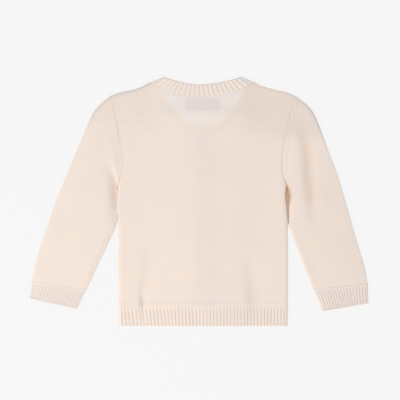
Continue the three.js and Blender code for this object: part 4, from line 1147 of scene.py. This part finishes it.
def neckband():
    F, S, N = neck_strip()
    mid = (F + S) / 2
    s = np.concatenate([[0], np.cumsum(np.linalg.norm(np.diff(mid, axis=0), axis=1))])
    even = np.arange(0, s[-1], 0.5)
    even = np.append(even, s[-1])
    rs = lambda a, at, src: np.stack([np.interp(at, src, a[:, k]) for k in range(3)], -1)
    F, S, N = (rs(a, even, s) for a in (F, S, N))
    k = np.exp(-0.5 * (np.arange(-9, 10) / 3.0) ** 2)
    k /= k.sum()
    def ease(a):
        p = np.concatenate([2 * a[:1] - a[9:0:-1], a, 2 * a[-1:] - a[-2:-11:-1]])
        return np.stack([np.convolve(p[:, c], k, "valid") for c in range(3)], -1)
    F, S, N = ease(F), ease(S), ease(N)
    N /= np.linalg.norm(N, axis=1, keepdims=True)
    length = even[-1]
    pitch = 6.45
    ribs = int(round(length / pitch))
    r = np.sort(np.concatenate([(np.arange(ribs)[:, None] + RIB_AT[None]).ravel(), [ribs]]))
    at = r / ribs * length
    F, S, N = (rs(a, at, even) for a in (F, S, N))
    N /= np.linalg.norm(N, axis=1, keepdims=True)
    W = S - F
    width = np.linalg.norm(W, axis=1)
    W = W / width[:, None]
    qs = np.array([0, 0.06, 0.2, 0.45, 0.85, 1.4, 2.2])
    g = rib_shape(r, pitch, 0.72)
    gn = rib_groove(r, pitch, 0.72)
    gl = rib_shape(r + 0.5, pitch, 0.72)
    rings, uvs, grooves, rim_shades = [], [], [], []
    for i in range(len(r)):
        w = width[i]
        q = np.concatenate([qs, np.linspace(3.4, w - 3.4, 7), w - qs[::-1]])
        h = (RIB / 2) * np.sqrt(np.maximum(0, 1 - (1 - np.minimum(q, 1.15) / 1.15) ** 2))
        back = w - q
        join = np.exp(-back / 1.3)
        hs = (RIB / 2) * np.sqrt(np.maximum(0, 1 - (1 - np.minimum(back, 0.6) / 0.6) ** 2))
        half = np.minimum(h, 0.25 + hs)
        half[-1] = 0.0
        half[0] = 0.0
        env = 0.55 + 0.45 * smooth(q / 2.2)
        env = env * (0.5 + 0.5 * smooth(back / 2.5)) * (0.3 + 0.7 * float(smooth((abs(N[i][2]) - 0.25) / 0.6))) * (0.6 + 0.4 * float(smooth((F[i][0] + 46) / 26)))
        topo = half - 0.85 * g[i] * env * np.minimum(1, half / 0.6) - 0.2 * join * np.minimum(1, half / 0.6)
        botm = -half + 0.7 * gl[i] * env * np.minimum(1, half / 0.6)
        botm = np.minimum(botm, topo - 0.3 * (half > 0.05))
        scal = 0.4 * (1 - g[i]) * np.exp(-q / 1.0)
        base = F[i][None] + W[i][None] * (q - scal)[:, None]
        over = base + N[i][None] * topo[:, None]
        under = base + N[i][None] * botm[:, None]
        ring = np.concatenate([over, under[::-1][1:-1]])
        rings.append(ring)
        uvs.append(np.stack([np.full(len(ring), r[i] * 5.0), np.concatenate([q, q[::-1][1:-1]])], -1))
        # painted shade in the rib grooves and at the seam
        gg = clamp01(0.54 * gn[i] * env + 0.04 * join)
        grooves.append(np.concatenate([gg, gg[::-1][1:-1]]))
        # painted cool shade along the free edge, stronger towards the sides
        free = (0.42 + 0.5 * float(smooth((abs(F[i][0] - 4.5) - 34) / 16))) * np.exp(-((q / 1.5) ** 2))
        rim_shades.append(np.concatenate([free, free[::-1][1:-1]]))
    rings = np.array(rings)
    rings[..., 2] = np.maximum(rings[..., 2], 0.0)
    zero = np.zeros(rings.shape[:2])
    # "through" here is a plain cooler tint of the yarn
    ob = bar("neckband_rib", rings, np.array(uvs), {"groove": np.array(grooves), "through": zero + 0.35, "label": zero, "rim": np.array(rim_shades)})
    return dress(ob, RIBBED, "neckband")


# ------------------------------------------------------------------ front bands, buttons, label
def front_band(name, node, z0, rows):
    """A straight ribbed strip up the centre front, with its ribs across it."""
    table = along_table(rows, np.linspace(0.5, 1, 400))
    order = np.argsort(table[:, 2])
    neck = lambda x: np.interp(x, table[order, 2], table[order, 3]) - 0.6
    xs = np.concatenate([[0, 0.08, 0.25, 0.55, 1.0, 1.8, 3.0], np.linspace(5, 25, 9), 30 - np.array([3.0, 1.8, 1.0, 0.55, 0.25, 0.08, 0])])
    X1 = BAND_L + xs
    tops = neck(X1)
    length = float(tops.mean()) - HEM_Y
    pitch = 4.9
    ribs = int(round(length / pitch))
    r = np.sort(np.concatenate([(np.arange(ribs)[:, None] + RIB_AT[None]).ravel(), [ribs]]))
    vs = r / ribs
    X = np.repeat(X1[None], len(vs), 0)
    Y = HEM_Y + (tops - HEM_Y)[None] * vs[:, None]
    Xs = np.repeat(xs[None], len(vs), 0)
    d = np.minimum(Xs, 30 - Xs)
    half = (RIB / 2) * np.sqrt(np.maximum(0, 1 - (1 - np.minimum(d, 1.1) / 1.1) ** 2))
    ends = np.minimum(vs, 1 - vs)[:, None] * length
    half = np.minimum(half, (RIB / 2) * np.sqrt(np.maximum(0.06, 1 - (1 - np.minimum(ends, 1.1) / 1.1) ** 2)))
    g = rib_shape(r, pitch)[:, None] * np.ones_like(X)
    gn = rib_groove(r, pitch)[:, None] * np.ones_like(X)
    gl = rib_shape(r + 0.5, pitch)[:, None] * np.ones_like(X)
    env = smooth(d / 2.0) * np.minimum(1, half / 0.8)
    z = z0 + RIB / 2
    high = z + half - 0.8 * gl * env
    low = z - half + 0.8 * g * env
    low = np.minimum(low, high - 0.06)
    zero = np.zeros_like(X)
    # painted shade in the rib grooves
    ob = shell(name, np.stack([X, Y, high], -1), np.stack([X, Y, low], -1), np.stack([r[:, None] * 5.0 * np.ones_like(X), X], -1),
               {"groove": 0.7 * gn * env, "through": zero, "label": zero})
    return dress(ob, RIBBED, node)


def button_mesh():
    """A four-hole button with a raised rim; its face looks down."""
    r, t = BUTTON_D / 2, BUTTON_T
    prof = [(0.0, 0.75), (2.2, 0.78), (3.3, 0.72), (3.8, 0.5), (4.15, 0.18), (4.6, 0.03), (5.1, 0.04), (5.55, 0.28), (5.85, 0.7), (6.0, 1.15),
            (5.9, 1.55), (5.55, 1.95), (5.0, 2.2), (4.0, 2.33), (2.4, 2.38), (0.0, 2.4)]
    n = 48
    pts, faces = [], []
    for k, (pr, pz) in enumerate(prof):
        if pr == 0:
            pts.append([(0, 0, pz)])
        else:
            pts.append([(pr * math.cos(2 * math.pi * j / n), pr * math.sin(2 * math.pi * j / n), pz) for j in range(n)])
    flat, start = [], []
    for ring in pts:
        start.append(len(flat))
        flat += ring
    for k in range(len(pts) - 1):
        for j in range(n):
            a = start[k] + (j if len(pts[k]) > 1 else 0)
            b = start[k] + ((j + 1) % n if len(pts[k]) > 1 else 0)
            c = start[k + 1] + ((j + 1) % n if len(pts[k + 1]) > 1 else 0)
            d = start[k + 1] + (j if len(pts[k + 1]) > 1 else 0)
            f = [v for i, v in enumerate((a, b, c, d)) if v not in (a, b, c, d)[:i]]
            faces.append(f)
    me = bpy.data.meshes.new("button_body")
    me.from_pydata((np.array(flat) * MM).tolist(), [], faces)
    me.validate()
    body = bpy.data.objects.new("button_body", me)
    cut_pts, cut_faces = [], []
    for hx in (-1.15, 1.15):
        for hy in (-1.15, 1.15):
            o = len(cut_pts)
            m = 16
            for z in (-1.0, 4.0):
                cut_pts += [(hx + 0.62 * math.cos(2 * math.pi * j / m), hy + 0.62 * math.sin(2 * math.pi * j / m), z) for j in range(m)]
            cut_faces += [[o + j, o + (j + 1) % m, o + m + (j + 1) % m, o + m + j] for j in range(m)]
            cut_faces += [[o + j for j in range(m)][::-1], [o + m + j for j in range(m)]]
    cm = bpy.data.meshes.new("button_holes")
    cm.from_pydata((np.array(cut_pts) * MM).tolist(), [], cut_faces)
    cutter = bpy.data.objects.new("button_holes", cm)
    for o in (body, cutter):
        bpy.context.scene.collection.objects.link(o)
    mod = body.modifiers.new("holes", "BOOLEAN")
    mod.operation, mod.object, mod.solver = "DIFFERENCE", cutter, "EXACT"
    dep = bpy.context.evaluated_depsgraph_get()
    done = bpy.data.meshes.new_from_object(body.evaluated_get(dep))
    bpy.data.objects.remove(body)
    bpy.data.objects.remove(cutter)
    done.polygons.foreach_set("use_smooth", [True] * len(done.polygons))
    done.set_sharp_from_angle(angle=math.radians(38))
    return done


def cord_points(path, radius, sides=8, twist=0.0):
    """Tube points and faces along a path."""
    path = np.array(path, float)
    tan = np.gradient(path, axis=0)
    tan /= np.linalg.norm(tan, axis=1, keepdims=True)
    ref = np.array([0.31, 0.27, 0.91])
    pts, faces = [], []
    for i, (p, t) in enumerate(zip(path, tan)):
        a = np.cross(t, ref)
        a /= np.linalg.norm(a)
        b = np.cross(t, a)
        rad = radius * (1 + 0.14 * math.sin(i * 1.9))
        for j in range(sides):
            w = 2 * math.pi * j / sides + twist * i
            pts.append(p + rad * (a * math.cos(w) + b * math.sin(w)))
    for i in range(len(path) - 1):
        for j in range(sides):
            k = (j + 1) % sides
            faces.append([i * sides + j, i * sides + k, (i + 1) * sides + k, (i + 1) * sides + j])
    faces.append(list(range(sides))[::-1])
    faces.append([(len(path) - 1) * sides + j for j in range(sides)])
    return pts, faces


def joined(name, parts):
    pts, faces = [], []
    for p, f in parts:
        o = len(pts)
        pts += [tuple(v) for v in p]
        faces += [[o + i for i in face] for face in f]
    me = bpy.data.meshes.new(name)
    me.from_pydata((np.array(pts) * MM).tolist(), [], faces)
    me.polygons.foreach_set("use_smooth", [True] * len(me.polygons))
    ob = bpy.data.objects.new(name, me)
    bpy.context.scene.collection.objects.link(ob)
    return ob


def buttons():
    body = button_mesh()
    stitches, holes = [], []
    for k in range(BUTTONS):
        y = TOP_BUTTON_Y - k * BUTTON_STEP
        ob = bpy.data.objects.new(f"button_{k + 1}_four_hole", body.copy())
        ob.data.transform(Matrix.Translation((CENTRE_X * MM, y * MM, 0)))
        bpy.context.scene.collection.objects.link(ob)
        ob.data.materials.clear()
        dress(ob, BUTTON, f"button_{k + 1}")
        # two pairs of thread bars over the face, down through the holes and into the bands
        for hy in (-1.15, 1.15):
            for off in (-0.2, 0.2):
                path = []
                for t in np.linspace(0, 1, 19):
                    x = -1.15 + 2.3 * t
                    z = 0.42 - 0.16 * math.sin(math.pi * t)
                    path.append((CENTRE_X + x, y + hy + off, z))
                lead = [(CENTRE_X - 1.15, y + hy + off, z) for z in (4.6, 3.6, 2.6, 1.6, 0.9)]
                tail = [(CENTRE_X + 1.15, y + hy + off, z) for z in (0.9, 1.6, 2.6, 3.6, 4.6)]
                stitches.append(cord_points(lead + path + tail, 0.2))
        # overcast edge of the buttonhole, a slit along the band's width
        turns, path = 46, []
        for t in np.linspace(0, 2 * math.pi, turns * 8 + 1):
            ca, sa = math.cos(t), math.sin(t)
            ex = (6.7 if abs(ca) > 1e-9 else 0) * ca
            ey = 0.75 * np.sign(sa) * abs(sa) ** 0.35
            w = turns * t
            nx, ny = ca * 0.2, (1 if sa >= 0 else -1) * 0.98
            path.append((CENTRE_X + ex + 0.34 * math.cos(w) * nx, y + ey + 0.34 * math.cos(w) * ny, 2.82 + 0.34 * math.sin(w)))
        holes.append(cord_points(path, 0.13, 5))
    a = joined("button_thread", stitches)
    b = joined("buttonhole_stitches", holes)
    for ob in (a, b):
        dress(ob, THREAD, [])


def label():
    xs = stations(LABEL_W, [0, 0.2, 0.6, 1.2], 1.6)
    ys = stations(LABEL_H, [0, 0.2, 0.6, 1.2, 2.0], 1.2)
    X, Y = np.meshgrid(CENTRE_X - LABEL_W / 2 + LABEL_W * xs, LABEL_Y - LABEL_H + LABEL_H * ys)
    under = back_heights(X, Y, WALL)[0] - LABEL_DROP + 0.12 * sway("edge", X, Y, 22)
    d = np.minimum(np.minimum(X - X.min(), X.max() - X), np.minimum(Y - Y.min(), Y.max() - Y))
    t = 0.25 + 0.2 * np.sqrt(np.maximum(0, 1 - (1 - np.minimum(d, 0.6) / 0.6) ** 2))
    rim = 0.12 * np.exp(-(((d - 1.6) / 0.35) ** 2))
    ob = shell("blank_neck_label", np.stack([X, Y, under - 0.1], -1), np.stack([X, Y, under - 0.1 - 2 * t + rim], -1), np.stack([X, Y], -1))
    return dress(ob, TAPE, "neck_label")


# ------------------------------------------------------------------ build
back_panel()
for which in ("left", "right"):
    front_panel(which)
    sleeve(which)
    cuff(which)
hem_rib("back_hem_rib_knit", "back_hem_rib", lambda v: side_x(HEM_Y + HEM_RIB_H * v, "left"), lambda v: side_x(HEM_Y + HEM_RIB_H * v, "right"),
        (True, True), lambda x, y: back_heights(x, y, RIB), RIB, 5.08, 4.58, hem_lean, True)
hem_rib("front_left_hem_rib_knit", "front_left_hem_rib", lambda v: side_x(HEM_Y + HEM_RIB_H * v, "left"), lambda v: np.full(np.shape(v), BAND_L - 0.2),
        (True, False), lambda x, y: front_heights(x, y, RIB, rise_left(x)), RIB, 4.9, 4.9, lambda x: 0 * x, False)
hem_rib("front_right_hem_rib_knit", "front_right_hem_rib", lambda v: np.full(np.shape(v), BAND_R + 0.2), lambda v: side_x(HEM_Y + HEM_RIB_H * v, "right"),
        (False, True), lambda x, y: front_heights(x, y, RIB, rise_right(x)), RIB, 4.9, 4.9, lambda x: 0 * x, False)
neckband()
front_band("button_band_rib", "button_band", HIGH_BAND_Z, np.vstack([NECK_BACK[0], NECK_FRONT_LEFT]))
front_band("buttonhole_band_rib", "buttonhole_band", LOW_BAND_Z, np.vstack([NECK_BACK[8], NECK_FRONT_RIGHT]))
buttons()
label()

# ------------------------------------------------------------------ floor, light and camera
def stage():
    me = bpy.data.meshes.new("floor")
    s = 4.0
    me.from_pydata([(-s, -s, -0.0003), (s, -s, -0.0003), (s, s, -0.0003), (-s, s, -0.0003)], [], [[0, 1, 2, 3]])
    floor = bpy.data.objects.new("floor", me)
    bpy.context.scene.collection.objects.link(floor)
    mat = bpy.data.materials.new("pale_floor")
    mat.use_nodes = True
    t = mat.node_tree
    t.nodes.clear()
    out = t.nodes.new("ShaderNodeOutputMaterial")
    mix = t.nodes.new("ShaderNodeMixShader")
    dif = t.nodes.new("ShaderNodeBsdfDiffuse")
    emi = t.nodes.new("ShaderNodeEmission")
    dif.inputs["Color"].default_value = (0.93, 0.93, 0.93, 1)
    emi.inputs["Color"].default_value = (0.93, 0.93, 0.93, 1)
    emi.inputs["Strength"].default_value = 1.0
    mix.inputs[0].default_value = 0.92
    t.links.new(dif.outputs[0], mix.inputs[1])
    t.links.new(emi.outputs[0], mix.inputs[2])
    t.links.new(mix.outputs[0], out.inputs[0])
    me.materials.append(mat)

    world = bpy.data.worlds.new("studio")
    bpy.context.scene.world = world
    world.use_nodes = True
    t = world.node_tree
    t.nodes.clear()
    out = t.nodes.new("ShaderNodeOutputWorld")
    bg = t.nodes.new("ShaderNodeBackground")
    co = t.nodes.new("ShaderNodeTexCoord")
    sep = t.nodes.new("ShaderNodeSeparateXYZ")
    ramp = t.nodes.new("ShaderNodeMapRange")
    ramp.inputs["From Min"].default_value = -0.9
    ramp.inputs["From Max"].default_value = 0.9
    mixc = t.nodes.new("ShaderNodeMix")
    mixc.data_type = "RGBA"
    mixc.inputs[6].default_value = (0.85, 0.84, 0.825, 1)
    mixc.inputs[7].default_value = (0.66, 0.675, 0.70, 1)
    t.links.new(co.outputs["Generated"], sep.inputs[0])
    t.links.new(sep.outputs[1], ramp.inputs["Value"])
    t.links.new(ramp.outputs[0], mixc.inputs[0])
    t.links.new(mixc.outputs[2], bg.inputs["Color"])
    bg.inputs["Strength"].default_value = 1.0
    t.links.new(bg.outputs[0], out.inputs[0])

    key = bpy.data.lights.new("soft_key", "AREA")
    key.shape, key.size = "DISK", 1.6
    key.energy = 22.8
    key.color = (1.0, 0.985, 0.965)
    ob = bpy.data.objects.new("soft_key", key)
    at = Vector((-1.4, -1.33, 1.4))      # from the lower left of the photo
    ob.location = at
    ob.rotation_euler = at.to_track_quat("Z", "Y").to_euler()
    bpy.context.scene.collection.objects.link(ob)

    cam = bpy.data.cameras.new("camera")
    cam.sensor_width = 36.0
    distance = 3.5
    cam.lens = 36.0 * distance / 0.56
    cam.clip_end = 20
    c = bpy.data.objects.new("camera", cam)
    c.location = (0.0014, 0.00175, distance + 0.005)
    bpy.context.scene.collection.objects.link(c)
    bpy.context.scene.camera = c
    view = bpy.context.scene.view_settings
    view.view_transform = "Standard"
    view.look = "None"


stage()
